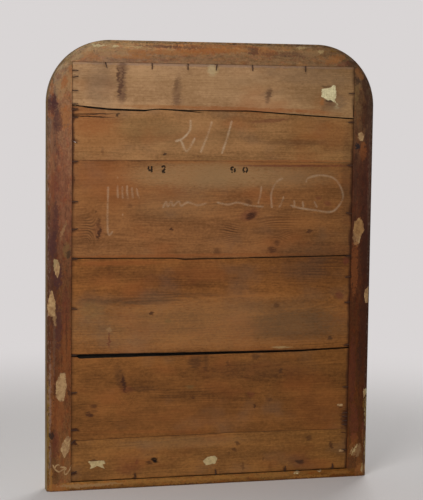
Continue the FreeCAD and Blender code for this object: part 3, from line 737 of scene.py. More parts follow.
def board_piece(name, material):
    """One backboard as a fine closed mesh: planed face, worn arrises and slightly uneven edges."""
    lower, upper = edges_of(name)
    box_low, box_high = (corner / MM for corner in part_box(name))
    columns = steps(box_low.x, box_high.x)
    tall = height_on(upper, 0) - height_on(lower, 0)
    rows = [r / tall for r in steps(0.0, tall)]
    down, up, low_wear, high_wear = FITS[name]
    vertices, faces = [], []
    for x in columns:
        bottom = height_on(lower, x) - height_on(down, x) + edge_wave * wobble(x / 17, box_low.z, 1.0)
        top = height_on(upper, x) + height_on(up, x) + edge_wave * wobble(x / 17, box_high.z, 2.0)
        end = min(x - box_low.x, box_high.x - x)
        side = math.copysign(1, x)
        back = []
        for row in rows:
            z = bottom + (top - bottom) * row
            place = x + side * end_reach(side, z) * max(0.0, 1 - end / end_fade)
            wear = wear_swing + wear_swing * wobble(x / 23, z / 23, 3.0)
            edges = (z - bottom, low_wear), (top - z, high_wear), (end, end_wear)
            drop = max(worn_drop(distance, wear * share) for distance, share in edges)
            planed = face_wave + face_wave * wobble(x / 140, z / 21, box_low.z)
            vertices.append((place, box_high.y - drop - planed, z))
            back.append((place, box_low.y, z))
        vertices += reversed(back)
    ring = 2 * len(rows)
    last = (len(columns) - 1) * ring
    for start in range(0, last, ring):
        bridge(faces, start, start + ring, ring)
    for j in range(len(rows) - 1):
        quad = (j, j + 1, ring - 2 - j, ring - 1 - j)
        faces += [quad, tuple(last + corner for corner in reversed(quad))]
    return add_piece("pine_" + name[4:], vertices, faces, material, "board_wood", name)


def loose_middles(name):
    """The middle of each loose solid of a CAD node, in a fixed order."""
    mesh = bmesh.new()
    mesh.from_mesh(nodes[name].data)
    bmesh.ops.remove_doubles(mesh, verts=mesh.verts, dist=0.001 * MM)
    seen, middles = set(), []
    for vertex in mesh.verts:
        group, queue = [], [vertex]
        while queue:
            current = queue.pop()
            if current not in seen:
                seen.add(current)
                group.append(current.co / MM)
                queue += [edge.other_vert(current) for edge in current.link_edges]
        if group:
            middles.append(sum(group, Vector()) / len(group))
    mesh.free()
    return sorted(middles, key=lambda point: (round(point.z), round(point.x)))


# Rust round a brad: how far its middle lies from the brad's, its reach along x and z by the stiles and by
# the rails, and the height above which the wood is cleaner
rust_shift = 3
STILE_RUST = (9, 3.8)
RAIL_RUST = (3.4, 9)
clean_height = 800


def rust_places():
    """Where the brads have stained the boards: x, z, reach along, reach up and strength."""
    places = []
    for point in loose_middles("brads_left") + loose_middles("brads_right"):
        side = math.copysign(1, point.x)
        strength = 0.35 if point.z > clean_height else 0.75
        places.append((point.x - side * rust_shift, point.z - 1, *STILE_RUST, strength))
    for group, shift, strength in (("brads_top", -rust_shift, 0.3), ("brads_bottom", rust_shift, 0.75)):
        places += [(point.x, point.z + shift, *RAIL_RUST, strength) for point in loose_middles(group)]
    return places


# Stage, light and camera, in metres
WALL = tone(217, 213, 213)
WHITE = (1.0, 1.0, 1.0, 1.0)
fill_strength = 0.24
floor_radius = 2.4
floor_corners = 96
floor_drop = 0.0002
# How far from the middle the floor turns into the backdrop, in millimetres
FLOOR_FADE = (700.0, 1900.0)
# Softboxes: name, place, point aimed at, side and watts
LAMPS = (
    ("key", (1.15, 1.6, 1.4), (0.0, 0.0, 0.5), 1.0, 26.0),
    ("fill", (-2.2, 2.6, 1.3), (0.0, 0.0, 0.4), 2.2, 3.0),
    ("front", (-1.7, -2.7, 2.2), (0.0, 0.0, 0.5), 1.8, 60.0),
)
# The camera stands behind the mirror, where the photograph was taken from
camera_place = (0.78781, 3.07387, 0.8098)
heading, pitch, roll = (math.radians(angle) for angle in (-165.5995, -5.5585, 0.7217))


def view_rays(tree):
    """1 for the rays that see the backdrop directly, in metal or through glass."""
    path = add_node(tree, "LightPath").outputs
    total = path["Is Camera Ray"]
    for key in ("Is Glossy Ray", "Is Transmission Ray"):
        total = add_node(tree, "Math", {0: total, 1: path[key]}, operation="MAXIMUM").outputs[0]
    return total


def floor_material():
    """A pale floor that turns into the colour of the backdrop away from the object."""
    paint = Paint("studio_floor")
    grain = paint.noise(paint.x / 3, paint.y / 3, 0.0, 3.0)
    paint.colour = paint.mix(grain, (212, 208, 206), (222, 218, 216))
    paint.finish(0.85, grain, 0.2)
    far = (paint.x * paint.x + paint.y * paint.y).root().rise(*FLOOR_FADE)
    glow = paint.node("Emission", {"Color": WALL}).outputs[0]
    inputs = {0: far * Field(paint, view_rays(paint.tree)), 1: paint.shader.outputs[0], 2: glow}
    both = paint.node("MixShader", inputs)
    paint.tree.links.new(both.outputs[0], paint.output.inputs["Surface"])
    return paint.material


def make_stage():
    turns = [2 * math.pi * i / floor_corners for i in range(floor_corners)]
    ring = [(floor_radius * math.cos(turn), floor_radius * math.sin(turn), 0.0) for turn in turns]
    mesh = bpy.data.meshes.new("studio_floor")
    mesh.from_pydata(ring, [], [tuple(range(floor_corners))])
    mesh.materials.append(floor_material())
    floor = add_object("studio_floor", mesh)
    floor.location.z = -floor_drop
    world = bpy.data.worlds.new("studio")
    world.use_nodes = True
    tree = world.node_tree
    tree.nodes.clear()
    fill = add_node(tree, "Background", {"Color": WHITE, "Strength": fill_strength}).outputs[0]
    seen = add_node(tree, "Background", {"Color": WALL}).outputs[0]
    both = add_node(tree, "MixShader", {0: view_rays(tree), 1: fill, 2: seen})
    add_node(tree, "OutputWorld", {"Surface": both.outputs[0]})
    bpy.context.scene.world = world
    for name, place, aim, side, watts in LAMPS:
        light = bpy.data.lights.new(name, "AREA")
        light.size = side
        light.energy = watts
        lamp = add_object(name, light)
        lamp.location = place
        lamp.visible_camera = False
        lamp.rotation_euler = (Vector(aim) - Vector(place)).to_track_quat("-Z", "Y").to_euler()


def make_camera():
    level = math.cos(pitch)
    ahead = Vector((math.sin(heading) * level, math.cos(heading) * level, math.sin(pitch)))
    data = bpy.data.cameras.new("camera")
    data.lens = 108.0
    data.sensor_width = 36.0
    camera = add_object("camera", data)
    camera.location = camera_place
    camera.rotation_mode = "QUATERNION"
    camera.rotation_quaternion = ahead.to_track_quat("-Z", "Y") @ Quaternion((0, 0, 1), roll)
    bpy.context.scene.camera = camera


# Painted highlights on a bent brad, as x and z, and their reach
BENT_HIGHLIGHTS = ((288.5, 737), (296.5, 727.5))
BENT_HIGHLIGHT_REACH = (2.6, 2.2)


def brad_iron():
    paint = Paint("rusty_iron")
    x, y, z = paint.x, paint.y, paint.z
    scale = paint.noise(x / 2, y / 2, z / 2, 4.0, 0.6)
    paint.colour = paint.bands(scale, (0.3, (44, 28, 20)), (0.52, (70, 46, 32)), (0.7, (100, 64, 42)))
    plain = paint.vector(x, z)
    first, second = (paint.spot(plain, *place, *BENT_HIGHLIGHT_REACH) for place in BENT_HIGHLIGHTS)
    # Painted highlights on the bent brad
    paint.lay(first.at_least(second) * 0.9, (214, 200, 190))
    return paint.finish(0.55 + scale * 0.3, scale, 0.15, Metallic=0.45)


# The moulding: a quarter-round shoulder, a flat crown, a hollow, the pearls' seat and the sight edge
shoulder = 16.0
shoulder_front = 29.5
crown_front = shoulder_front + shoulder
hollow_start = 21.0
hollow_end = 47.0
hollow_front = 43.0
hollow_drop = 8.0
seat_front = 33.5
sight = 60.0
shoulder_facets = 10
hollow_facets = 16


def moulding_face():
    """The moulding's gilt face from the outer shoulder to the sight edge, as (inward, front)."""
    turns = [math.pi / 2 * i / shoulder_facets for i in range(shoulder_facets + 1)]
    points = [(shoulder * (1 - math.cos(turn)), shoulder_front + shoulder * math.sin(turn)) for turn in turns]
    points += [(17.5, crown_front), (19.5, crown_front), (20.6, 45.3), (hollow_start, 44.6)]
    for i in range(hollow_facets + 1):
        share = i / hollow_facets
        inward = hollow_start + (hollow_end - hollow_start) * share
        points.append((inward, hollow_front - hollow_drop * (0.5 - 0.5 * math.cos(math.pi * share))))
    points.append((hollow_end, 34.2))
    points += [(inward, seat_front) for inward in (hollow_end, 48.2, 50.5, 53.5, 56.5, 58.8)]
    return points + [(59.7, 33.2), (sight, 32.4), (sight, 30.0), (sight, 27.0)]


# The wooden core's face under the gilding, from the sight edge back to the shoulder
CORE_FACE = [
    (58.5, 27.0), (58.5, 32.0), (45.5, 32.0), (45.5, 33.5), (40.0, 33.5), (32.5, 37.5),
    (19.5, 41.5), (19.5, 44.0), (16.0, 44.0), (5.7, 39.8), (1.5, 29.5),
]


def leg_lengths(inward):
    """How long the six legs of the frame are at a distance inside its outline.

    They are the left side, the left corner, the top, the right corner, the right side and the bottom.
    """
    upright = arc_z - inward
    quarter = (corner_radius - inward) * math.pi / 2
    return upright, quarter, 2 * arc_x, quarter, upright, 2 * (half_width - inward)


def place_on(leg, share, inward):
    """The (x, z) at a share of a leg."""
    side = -1 if leg < 3 else 1
    if leg in (0, 4):
        rise = share if leg == 0 else 1 - share
        return side * (half_width - inward), inward + rise * (arc_z - inward)
    if leg in (1, 3):
        turn = math.pi / 2 * (share if leg == 1 else 1 - share)
        radius = corner_radius - inward
        return side * (arc_x + radius * math.cos(turn)), arc_z + radius * math.sin(turn)
    if leg == 2:
        return arc_x * (2 * share - 1), height - inward
    return (half_width - inward) * (1 - 2 * share), inward


# How many stations the moulding has on each leg
LEG_STATIONS = (125, 32, 70, 32, 125, 110)

# Knocks in the gilding: the stretch of the face that they reach, the noise at which they start, how fast
# they deepen, their greatest depth, and their share below high_front. gilt_wear is the wear elsewhere.
KNOCK_STRETCH = (0.4, 59.9)
high_front = 40
knock_start = 0.42
knock_slope = 2.6
knock_depth = 1.0
low_share = 0.35
gilt_wear = 0.1


def gilt_mesh(material):
    """The gesso and gilding of the moulding, one closed skin with knocks along its high edges."""
    face = moulding_face()
    section = face + CORE_FACE
    reach = [0.0]
    for start, end in zip(section, section[1:]):
        reach.append(reach[-1] + math.dist(start, end))
    vertices, faces, along = [], [], []
    leg_start = 0.0
    for leg, (length, stations) in enumerate(zip(leg_lengths(0.0), LEG_STATIONS)):
        for station in range(stations):
            share = station / stations
            run = leg_start + length * share
            for k, (inward, front) in enumerate(section):
                if k < len(face) and KNOCK_STRETCH[0] < inward < KNOCK_STRETCH[1]:
                    knock = wobble(run / 26, inward / 14, 5.0)
                    dent = max(0.0, knock - knock_start) * knock_slope
                    dent *= 1.0 if front > high_front else low_share
                    front -= min(dent, knock_depth) + gilt_wear * (1 + wobble(run / 60, inward / 20, 9.0))
                x, z = place_on(leg, share, inward)
                vertices.append((x, back_plane - front, z))
                along.append(run)
        leg_start += length
    count, total = len(section), sum(LEG_STATIONS)
    for i in range(total):
        bridge(faces, (i + 1) % total * count, i * count, count)
    return add_piece(
        "gilded_moulding", vertices, faces, material, "gilt_gesso", "gilt_moulding", 32,
        along=along, across=reach * total,
    )


def gilding(name="worn_gilding", pearls=False):
    """Water gilding gone brown, rubbed to the red bole and chipped to the gesso."""
    paint = Paint(name)
    x, y, z, cloud = paint.x, paint.y, paint.z, paint.noise
    front = back_plane - y
    if pearls:
        along, across = x + z, y
    else:
        along, across = paint.attribute("along"), paint.attribute("across")
    toned = cloud(x / 40, y / 12, z / 40, 4.0, 0.6)
    paint.colour = paint.bands(toned, (0.25, (120, 86, 40)), (0.5, (176, 134, 66)), (0.75, (206, 168, 96)))
    rub = cloud(along / 24, across / 5, 3.0, 5.0, 0.65) + (front - 43.0).rise(0.0, 2.0) * 0.06
    bole = rub.rise(0.57, 0.66)
    paint.lay(bole * 0.85, (112, 48, 32))
    grime = cloud(along / 14, across / 4, 8.0, 4.0, 0.6)
    dirt = (grime + (front - 36.0).rise(1.5, -2.0) * 0.16).rise(0.55, 0.75)
    paint.lay(dirt * 0.7, (62, 46, 30))
    chip = cloud(along / 26, across / 9, 17.0, 5.0, 0.62).rise(0.685, 0.70)
    paint.lay(chip * 0.95, (216, 204, 178))
    metal = (1.0 - bole * 0.6) * (1.0 - chip) * (1.0 - dirt * 0.55)
    relief = swing(0.6 - chip * 0.5, (grime, 0.15))
    if not pearls:
        crack = paint.cells(swing(along / 46, (rub, 0.5)), across / 120, 0.5).rise(0.014, 0.004)
        paint.lay(crack * 0.8, (70, 44, 30))
        relief = relief - crack * 0.3
        metal = metal * (1.0 - crack)
    wood_side = front.rise(29.9, 29.4)
    paint.lay(wood_side * 0.9, "ochre")
    roughness = 0.34 + bole * 0.22 + chip * 0.45 + dirt * 0.25
    return paint.finish(roughness, relief, 0.6, Metallic=metal * (1.0 - wood_side) * 0.9)


def pearl_course(material):
    """A string of pearls laid on the seat beside the sight edge."""
    inward, radius, pitch, sunk = 53.5, 3.6, 7.5, 0.05
    sides, rings = 12, 4
    foot = back_plane - seat_front + sunk
    centres = []
    for leg, length in enumerate(leg_lengths(inward)):
        count = round(length / pitch)
        centres += [place_on(leg, i / count, inward) for i in range(count)]
    dice = random.Random(5)
    vertices, faces = [], []
    for x, z in centres:
        size = radius * dice.uniform(0.95, 1.0)
        base = len(vertices)
        for r in range(rings):
            lift = math.pi / 2 * r / rings
            flat, y = size * math.cos(lift), foot - size * math.sin(lift)
            for s in range(sides):
                turn = 2 * math.pi * s / sides
                vertices.append((x + flat * math.cos(turn), y, z + flat * math.sin(turn)))
        vertices.append((x, foot - size, z))
        for start in range(base, base + (rings - 1) * sides, sides):
            bridge(faces, start + sides, start, sides)
        last, top = base + (rings - 1) * sides, base + rings * sides
        faces += [(last + s, last + (s + 1) % sides, top) for s in range(sides)]
        faces.append(tuple(base + s for s in reversed(range(sides))))
    return add_piece("pearl_course", vertices, faces, material, "gilt_gesso", "sight_bead", 60)


def old_glass():
    paint = Paint("old_glass", (0.93, 0.97, 0.95, 1.0))
    x, y, z = paint.x, paint.y, paint.z
    smear = paint.noise(x / 90, z / 30, y / 30, 3.0, 0.6).rise(0.5, 0.8)
    dust = paint.noise(x / 2, z / 2, y / 2).rise(0.7, 0.8)
    wave = paint.noise(x / 160, z / 60, 2.0, 1.0)
    return paint.finish(smear * 0.05 + dust * 0.1 + 0.01, wave, 0.05, Transmission_Weight=1.0, IOR=1.5)


def foxed_silver():
    """Tin and mercury silvering, bright in the middle, foxed in dark spots towards its edges."""
    paint = Paint("foxed_silver")
    x, z, cloud = paint.x, paint.z, paint.noise
    side = (x - boards_left).at_most(boards_right - x)
    edge = side.at_most((z - rebate_low).at_most(rebate_high - z))
    bloom = cloud(x / 34, z / 34, 4.0, 5.0, 0.62)
    speck = cloud(x / 5, z / 5, 9.0, 3.0, 0.6)
    fox = (bloom + edge.rise(70.0, 8.0) * 0.16).rise(0.62, 0.70)
    fox = fox.at_least((speck + edge.rise(160.0, 10.0) * 0.08).rise(0.72, 0.76))
    paint.colour = paint.mix(fox * 0.9, (226, 228, 222), (72, 64, 54))
    paint.lay(cloud(x / 60, z / 110, 1.0, 3.0).rise(0.5, 0.8) * 0.25, (176, 176, 160))
    # The silvering's back is dull and dark. This is partly the amalgam's own dull oxide and partly painted
    # shade of the narrow space behind the boards.
    back = paint.y.rise(-0.15, -0.05)
    paint.lay(back, (52, 46, 40))
    return paint.finish(0.03 + fox * 0.5 + back * 0.8, Metallic=(1.0 - fox * 0.7) * (1.0 - back))


def leather():
    paint = Paint("slip_leather")
    pore = paint.noise(paint.x / 2, paint.y / 2, paint.z / 2, 4.0, 0.6)
    paint.colour = paint.mix(pore, (70, 46, 30), (122, 86, 56))
    return paint.finish(0.75, pore)


def block_wood():
    """Fresh-sawn softwood of the glue blocks, darkened by glue."""
    paint = Paint("block_pine")
    x, y, z = paint.x, paint.y, paint.z
    fine = paint.noise(x / 12, y * 0.9, z * 0.5, 3.0, 0.6)
    saw = paint.noise(x / 2.2, y / 9, z / 9)
    glue = paint.noise(x / 16, y / 8, z / 16, 3.0).rise(0.55, 0.7)
    paint.colour = paint.mix(fine, (132, 92, 54), (186, 146, 98))
    paint.lay(glue * 0.6, (92, 56, 26))
    return paint.finish(0.7 - glue * 0.3, saw * 0.5 + fine * 0.5)


# A darker place on the putty: x, z, reach along and reach up
DARK_PUTTY = (-324, 549, 16, 22)


def scrap_paper(name, light, dark, thin, printed):
    """Old paper or putty that is worn thin by its rim, where the wood's tone comes through.

    printed is 1 for paper and 0 for putty.
    """
    paint = Paint(name)
    x, z, cloud = paint.x, paint.z, paint.noise
    pulp = cloud(x / 5, z / 5, 3.0, 4.0, 0.62)
    blot = cloud(x / 9, z / 13, 5.0, 3.0, 0.6)
    rubbed = cloud(x / 1.6, z / 1.6, 7.0, 3.0, 0.6)
    paint.colour = paint.mix(swing(pulp, (blot, 1.2)).rise(0.25, 0.7), dark, light)
    paint.lay(rubbed.rise(0.58, 0.72) * 0.15, thin)
    column = (x * (2 * math.pi / 3.9)).sine() + (z * (2 * math.pi / 2.6)).sine() * 0.3 + rubbed
    paint.lay(column.rise(1.0, 1.6) * z.rise(826.0, 830.0) * printed * 0.3, (128, 112, 76))
    core = swing(paint.attribute("core"), (pulp, 0.9), (blot, 0.8))
    paint.lay(core.rise(0.16 - 0.1 * printed, -0.2) * 0.75, thin)
    paint.tint(paint.spot(paint.vector(x, z), *DARK_PUTTY), (0.76, 0.64, 0.46))
    paint.tint(z.rise(200.0, 100.0) * printed, (0.72, 0.62, 0.52))
    paint.lay(paint.cells(x / 9, z / 9, 2.0).rise(0.06, 0.0) * 0.25, thin)
    return paint.finish(0.85, pulp * 0.6 + rubbed * 0.4)


class Marks:
    """Thin flakes and strokes on the back faces, gathered for one mesh with a value at each vertex."""

    # Where rays start, how far the feet of flakes and strokes are sunk, and how high a stroke's rim lies
    above = 100.0
    flake_foot = 0.15
    stroke_foot = 0.2
    stroke_rim = 0.015
    # A torn rim: the length of its pieces, how much it wavers finely and coarsely, how thin and how curled
    rim_pitch = 1.2
    fine_tear = 0.09
    coarse_tear = 0.08
    rim_share = 0.4
    curl = 0.5

    def __init__(self, grounds):
        self.grounds = grounds
        self.vertices, self.faces, self.values = [], [], []

    def add(self, x, z, lift, value):
        """Adds a vertex that stands lift above the pieces, which a ray from above finds."""
        start = Vector((x, self.above, z)) * MM
        hits = [tree.ray_cast(start, Vector((0, -1, 0)))[0] for tree in self.grounds]
        ground = max((hit.y / MM for hit in hits if hit), default=boards_back)
        self.vertices.append((x, ground + lift, z))
        self.values.append(value)

    def scrap(self, outline, thick, seed):
        """A thin torn flake over an outline. Its value is 0 at the rim and 1 in the middle."""
        corners = [Vector(corner) for corner in outline]
        centre = sum(corners, Vector((0, 0))) / len(corners)
        rim = []
        for corner, following in zip(corners, corners[1:] + corners[:1]):
            pieces = max(2, round((following - corner).length / self.rim_pitch))
            for k in range(pieces):
                point = corner.lerp(following, k / pieces)
                fine, coarse = (wobble(*(point / size), seed) for size in (2.2, 6))
                stretch = 1 + self.fine_tear * fine + self.coarse_tear * coarse
                rim.append(centre + (point - centre) * stretch)
        total = len(rim)
        base = len(self.vertices)
        shares = (1.0, 0.94, 0.75, 0.5, 0.25)
        for share in shares:
            for point in rim:
                place = centre + (point - centre) * share
                curl = self.curl * max(0.0, wobble(*(place / 5), seed + 2))
                full = self.rim_share if share == 1.0 else 1.0
                self.add(*place, thick * (full + curl), 1.0 - share)
        self.add(*centre, thick, 1.0)
        for point in rim:
            self.add(*point, -self.flake_foot, 0.0)
        inner, top = base + (len(shares) - 1) * total, base + len(shares) * total
        foot = top + 1
        for start in range(base, inner, total):
            bridge(self.faces, start, start + total, total)
        self.faces += [(inner + i, top, inner + (i + 1) % total) for i in range(total)]
        bridge(self.faces, foot, base, total)
        self.faces.append(tuple(range(foot, foot + total)))

    def ribbon(self, points, wide, lift=0.04, blunt=0.35):
        """A thin stroke along points, highest in its middle, with ends of width blunt.

        Its value runs from -1 to 1 across it.
        """
        line = smooth_line(points)
        rows = (-1, -0.5, 0, 0.5, 1)
        ring = len(rows) + 1
        base, last = len(self.vertices), len(line) - 1
        for i, point in enumerate(line):
            ahead = (line[min(last, i + 1)] - line[max(0, i - 1)]).normalized()
            swell = 1 + 0.3 * wobble(*(point / 8), 4.0)
            reach = wide / 2 * swell * min(1.0, blunt + min(i, last - i) * 0.3)
            for side in rows:
                place = point + Vector((-ahead.y, ahead.x)) * (side * reach)
                self.add(*place, lift * (1 - abs(side)) + self.stroke_rim, side)
            self.add(*point, -self.stroke_foot, 0.0)
        for i in range(last):
            bridge(self.faces, base + i * ring, base + (i + 1) * ring, ring)
        self.faces.append(tuple(range(base, base + ring)))
        self.faces.append(tuple(reversed(range(base + last * ring, base + (last + 1) * ring))))

    def piece(self, name, material, slot, crease, key):
        add_piece(name, self.vertices, self.faces, material, slot, crease=crease, **{key: self.values})


# Torn scraps glued to the back, each a list of corners in x and z
PAPER = [
    [(-265, 853), (-261, 853.5), (-257, 850.5), (-254, 848), (-249, 847), (-241, 845.7), (-235, 845),
     (-233.5, 841), (-234, 833.5), (-233.6, 829), (-237, 827), (-241.5, 824), (-245, 821.3), (-249, 821),
     (-255.5, 821.5), (-258.6, 819), (-264, 816.3), (-267, 816), (-264.3, 821.6), (-266.4, 824.5),
     (-267.4, 831), (-267, 841.5), (-265, 847.5)],
    [(265, 61), (230.5, 61), (228, 55), (234, 52.5), (230.5, 44), (237.5, 46.5), (246, 50), (253, 46.5),
     (261.5, 44), (259, 51), (262, 55)],
    [(17, 50), (7, 58), (-10, 60), (-15, 54), (-11, 43), (10, 40)],
]
PUTTY = [
    [(332, 482), (337, 470), (336, 458), (331, 448), (327, 460), (326, 474)],
    [(346, 418), (352, 394), (350, 370), (336, 371), (335, 400), (342, 424)],
    [(314, 252), (325, 250), (334, 229), (334, 198), (326, 191), (317, 193), (311, 221)],
    [(311, 117), (320, 102), (324, 89), (316, 71), (306, 84), (302, 114)],
    [(-318, 752), (-326, 754), (-331, 745), (-328, 735), (-319, 736)],
    [(-324, 571), (-332.5, 560), (-337, 544), (-329, 529), (-326, 514), (-317, 521), (-311, 541),
     (-313, 560)],
    [(-350, 420), (-350, 383), (-342, 384), (-339, 400), (-341, 412)],
    [(-343, 196), (-348, 190), (-347, 178), (-343, 174)],
    [(-283, 162), (-297, 162), (-296, 157), (-284, 157)],
    [(-289, 61), (-301, 61), (-301, 56), (-290, 56)],
    [(-186, 17.4), (-200, 17.4), (-200, 14.6), (-187, 14.8)],
    [(-239, 17.4), (-250, 17.4), (-249, 14.8), (-240, 15)],
]

# Thin squiggles of old glue at the foot of a stile
GLUE_LINES = [
    [(340, 58), (337, 51), (333, 45.6), (327, 42), (321.6, 44.6), (314.5, 48.8), (321, 51.6), (325, 51.4)],
    [(335, 50), (333.5, 54.5), (329.5, 57), (325.5, 55.6)],
    [(319, 53), (311.5, 48.6), (315.6, 43.6), (315.2, 37.4), (312.4, 35.6), (307.5, 41), (304.2, 46.5),
     (300.4, 54)],
]


def scraps(grounds):
    paper = Marks(grounds)
    for i, outline in enumerate(PAPER):
        paper.scrap(outline, thick=0.22, seed=i * 3.1)
    label = scrap_paper("label_paper", (232, 218, 170), (204, 188, 142), (150, 124, 90), printed=1.0)
    paper.piece("paper_scraps", label, "board_wood", 50, "core")
    putty = Marks(grounds)
    for i, outline in enumerate(PUTTY):
        putty.scrap(outline, thick=0.3, seed=i * 2.3 + 40)
    flakes = len(putty.values)
    for line in GLUE_LINES:
        putty.ribbon(line, wide=2.8, lift=0.3)
    putty.values[flakes:] = [0.9 - 0.5 * abs(side) for side in putty.values[flakes:]]
    filler = scrap_paper("old_putty", (178, 142, 96), (146, 108, 68), (112, 74, 44), printed=0.0)
    putty.piece("putty_scraps", filler, "frame_wood", 50, "core")


def smooth_line(points, pitch=1.6):
    """Points about pitch apart on a smooth curve through the given ones."""
    ends = [Vector(point) for point in (points[0], *points, points[-1])]
    line = []
    for a, b, c, d in zip(ends, ends[1:], ends[2:], ends[3:]):
        count = max(1, round((c - b).length / pitch))
        for t in (i / count for i in range(count)):
            bend = (2 * a - 5 * b + 4 * c - d) * t**2 + (3 * b - a - 3 * c + d) * t**3
            line.append(b + 0.5 * ((c - a) * t + bend))
    return line + ends[-1:]


# Cracks along the grain: each a wedge from its wide end to its tip, as x, z and the width at the wide end
CRACKS = [
    [(304, 785.4), (262, 786.6), (217, 787.8), 1.7],
    [(304, 782.2), (255, 781.0), (219, 779.6), 1.7],
    [(120, 798.0), (92, 796.4), (64, 794.4), (40, 792.5), (15, 790.4), 2.8],
    [(304, 793.0), (292, 793.4), (286, 793.6), 0.8],
    [(304, 797.6), (296, 797.4), (288, 797.0), 0.8],
]


crack_depth = 3.2
overrun = 1.0


def crack_cutter(points, wide):
    """A thin wedge that opens a crack in a board, as an object that a boolean modifier reads."""
    halves = [max(0.05, wide / 2 * (1 - (i / (len(points) - 1)) ** 3)) for i in range(len(points))]
    outline = [(x, z + half) for (x, z), half in zip(points, halves)]
    outline += reversed([(x, z - half) for (x, z), half in zip(points, halves)])
    count = len(outline)
    levels = boards_back - crack_depth, boards_back + overrun
    vertices = [Vector((x, y, z)) * MM for y in levels for x, z in outline]
    faces = [tuple(range(count)), tuple(reversed(range(count, 2 * count)))]
    bridge(faces, 0, count, count)
    mesh = bpy.data.meshes.new("crack")
    mesh.from_pydata(vertices, [], faces)
    return add_object("crack", mesh)


def open_cracks(board):
    """Cuts the cracks into a board and keeps the result as its mesh."""
    for *points, wide in CRACKS:
        cutter = crack_cutter(points, wide)
        cut = board.modifiers.new("crack", "BOOLEAN")
        cut.operation = "DIFFERENCE"
        cut.solver = "EXACT"
        cut.object = cutter
        graph = bpy.context.evaluated_depsgraph_get()
        opened = bpy.data.meshes.new_from_object(board.evaluated_get(graph))
        board.modifiers.clear()
        board.data = opened
        bpy.data.objects.remove(cutter)


# Chalk strokes, each a list of points in x and z: a plain number and a loose flourish
CHALK_NUMBER = [
    [(52, 777), (54, 754), (71, 736), (85, 731), (73, 733), (60, 711), (42, 739)],
    [(6, 774), (16, 743), (30, 708)],
    [(-37, 776), (-28, 742), (-16, 706)],
]
CHALK_FLOURISH = [
    [(226, 638), (226, 543), (215, 545)],
    [(206, 641), (206, 626), (205, 613)],
    [(196, 638), (196, 624), (195, 612)],
    [(186, 640), (186, 626), (184, 611)],
    [(176, 636), (175, 624), (173, 612)],
    [(166, 634), (164, 622), (160, 612)],
    [(110, 592), (103, 606), (99, 596), (92, 607), (88, 597), (76, 606), (70, 597), (56, 604), (34, 598),
     (14, 603)],
    [(-128, 591), (-126, 622), (-137, 646), (-152, 655)],
    [(206, 658), (206, 654)],
    [(226, 586), (226, 581)],
    [(195, 581), (195, 577)],
    [(-6, 604), (-30, 599), (-52, 603), (-78, 597), (-110, 594)],
    [(-104, 638), (-102, 620), (-97, 600)],
    [(-154, 616), (-149, 602), (-143, 592)],
    [(-177, 608), (-178, 598), (-174, 591)],
    [(-196, 606), (-197, 598), (-198, 592)],
    [(-222, 605), (-226, 597), (-229, 591)],
    [(-168, 597), (-190, 591), (-224, 586), (-258, 582), (-276, 593), (-287, 618), (-270, 651), (-238, 661),
     (-208, 655), (-203, 645)],
]

# Stencilled figures: their strokes in a cell one wide and one high
STENCIL = {
    "0": [[(0.36, 1.0), (0.04, 0.72), (0.04, 0.28), (0.36, 0.0)],
        [(0.64, 1.0), (0.96, 0.72), (0.96, 0.28), (0.64, 0.0)]],
    "2": [[(0.05, 0.75), (0.2, 0.97), (0.75, 0.97), (0.9, 0.75)], [(0.88, 0.62), (0.5, 0.35), (0.12, 0.08)],
        [(0.05, 0.02), (0.95, 0.02)]],
    "4": [[(0.15, 1.0), (0.05, 0.45)], [(0.05, 0.34), (0.7, 0.34)], [(0.85, 1.0), (0.85, 0.0)]],
    "9": [[(0.7, 0.98), (0.3, 0.98), (0.04, 0.78), (0.1, 0.52), (0.5, 0.46)],
        [(0.92, 0.84), (0.96, 0.3), (0.7, 0.0)], [(0.45, 0.0), (0.15, 0.04)]],
}

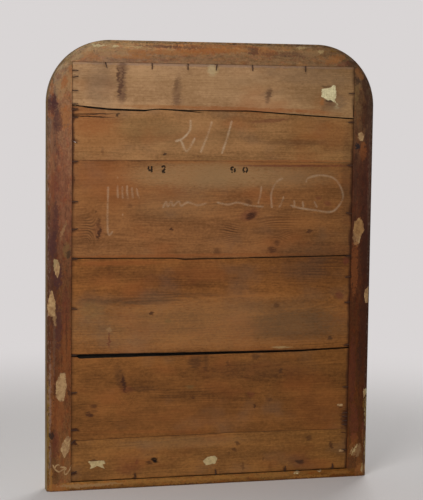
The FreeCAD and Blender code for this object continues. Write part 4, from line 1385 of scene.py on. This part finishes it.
# Each figure's place: the x it starts and ends at, and the z of its foot and its head
STENCIL_PLACES = [
    ("4", 144, 131, 664.6, 682), ("2", 115, 102.5, 664.6, 682), ("9", -34, -47.5, 665, 680),
    ("0", -61, -74, 665, 680),
]
stencil_stroke = 4.3


def strokes(name, lines, wide, grounds, material, **shape):
    """One piece of drawn strokes on a board."""
    drawn = Marks(grounds)
    for line in lines:
        drawn.ribbon(line, wide, **shape)
    drawn.piece(name, material, "board_wood", 60, "across")


def stencil_lines(wide):
    """Small stencilled figures that read from the back, so that x runs down from left to right."""
    lines = []
    for figure, start, end, foot, head in STENCIL_PLACES:
        left, low = start - wide / 2, foot + wide / 2
        size_x, size_z = end - start + wide, head - foot - wide
        for stroke in STENCIL[figure]:
            lines.append([(left + size_x * across, low + size_z * up) for across, up in stroke])
    return lines


def main():
    make_stage()
    make_camera()
    rust = rust_places()
    backs = []
    for name in BOARDS:
        backs.append(board_piece(name, pine(name + "_pine", name, rust)))
    for name in MEMBERS:
        dress(name, member_wood(name), arris=0.6)
        backs.append(nodes[name])
    iron = brad_iron()
    glue_block = block_wood()
    for side in ("left", "right", "top", "bottom"):
        dress("brads_" + side, iron, arris=0.2)
        dress("glass_blocks_" + side, glue_block, arris=0.5)
    dress("setting_pads", leather(), arris=0.3)
    dress("mirror_glass", old_glass(), arris=0.4)
    dress("silvering", foxed_silver())
    add_modifiers("silvering", "DISPLACE", mid_level=0.0, strength=-silver_shift * MM)
    gilt_mesh(gilding())
    pearl_course(gilding("pearl_gilding", True))
    open_cracks(backs[1])
    graph = bpy.context.evaluated_depsgraph_get()
    grounds = [BVHTree.FromObject(piece, graph) for piece in backs]
    scraps(grounds)
    bold = pine("chalk_bold", "backboard_1_lower", stroke=chalk(0.64))
    strokes("chalk_number", CHALK_NUMBER, 8.0, grounds, bold)
    faint = pine("chalk_faint", "backboard_2", stroke=chalk(0.4))
    strokes("chalk_flourish", CHALK_FLOURISH, 7.4, grounds, faint)
    ink = pine("stencil_ink", "backboard_2", stroke=stencil_ink)
    strokes("stencil_figures", stencil_lines(stencil_stroke), stencil_stroke, grounds, ink, blunt=0.8)


main()
bpy.context.scene.view_settings.view_transform = "Standard"
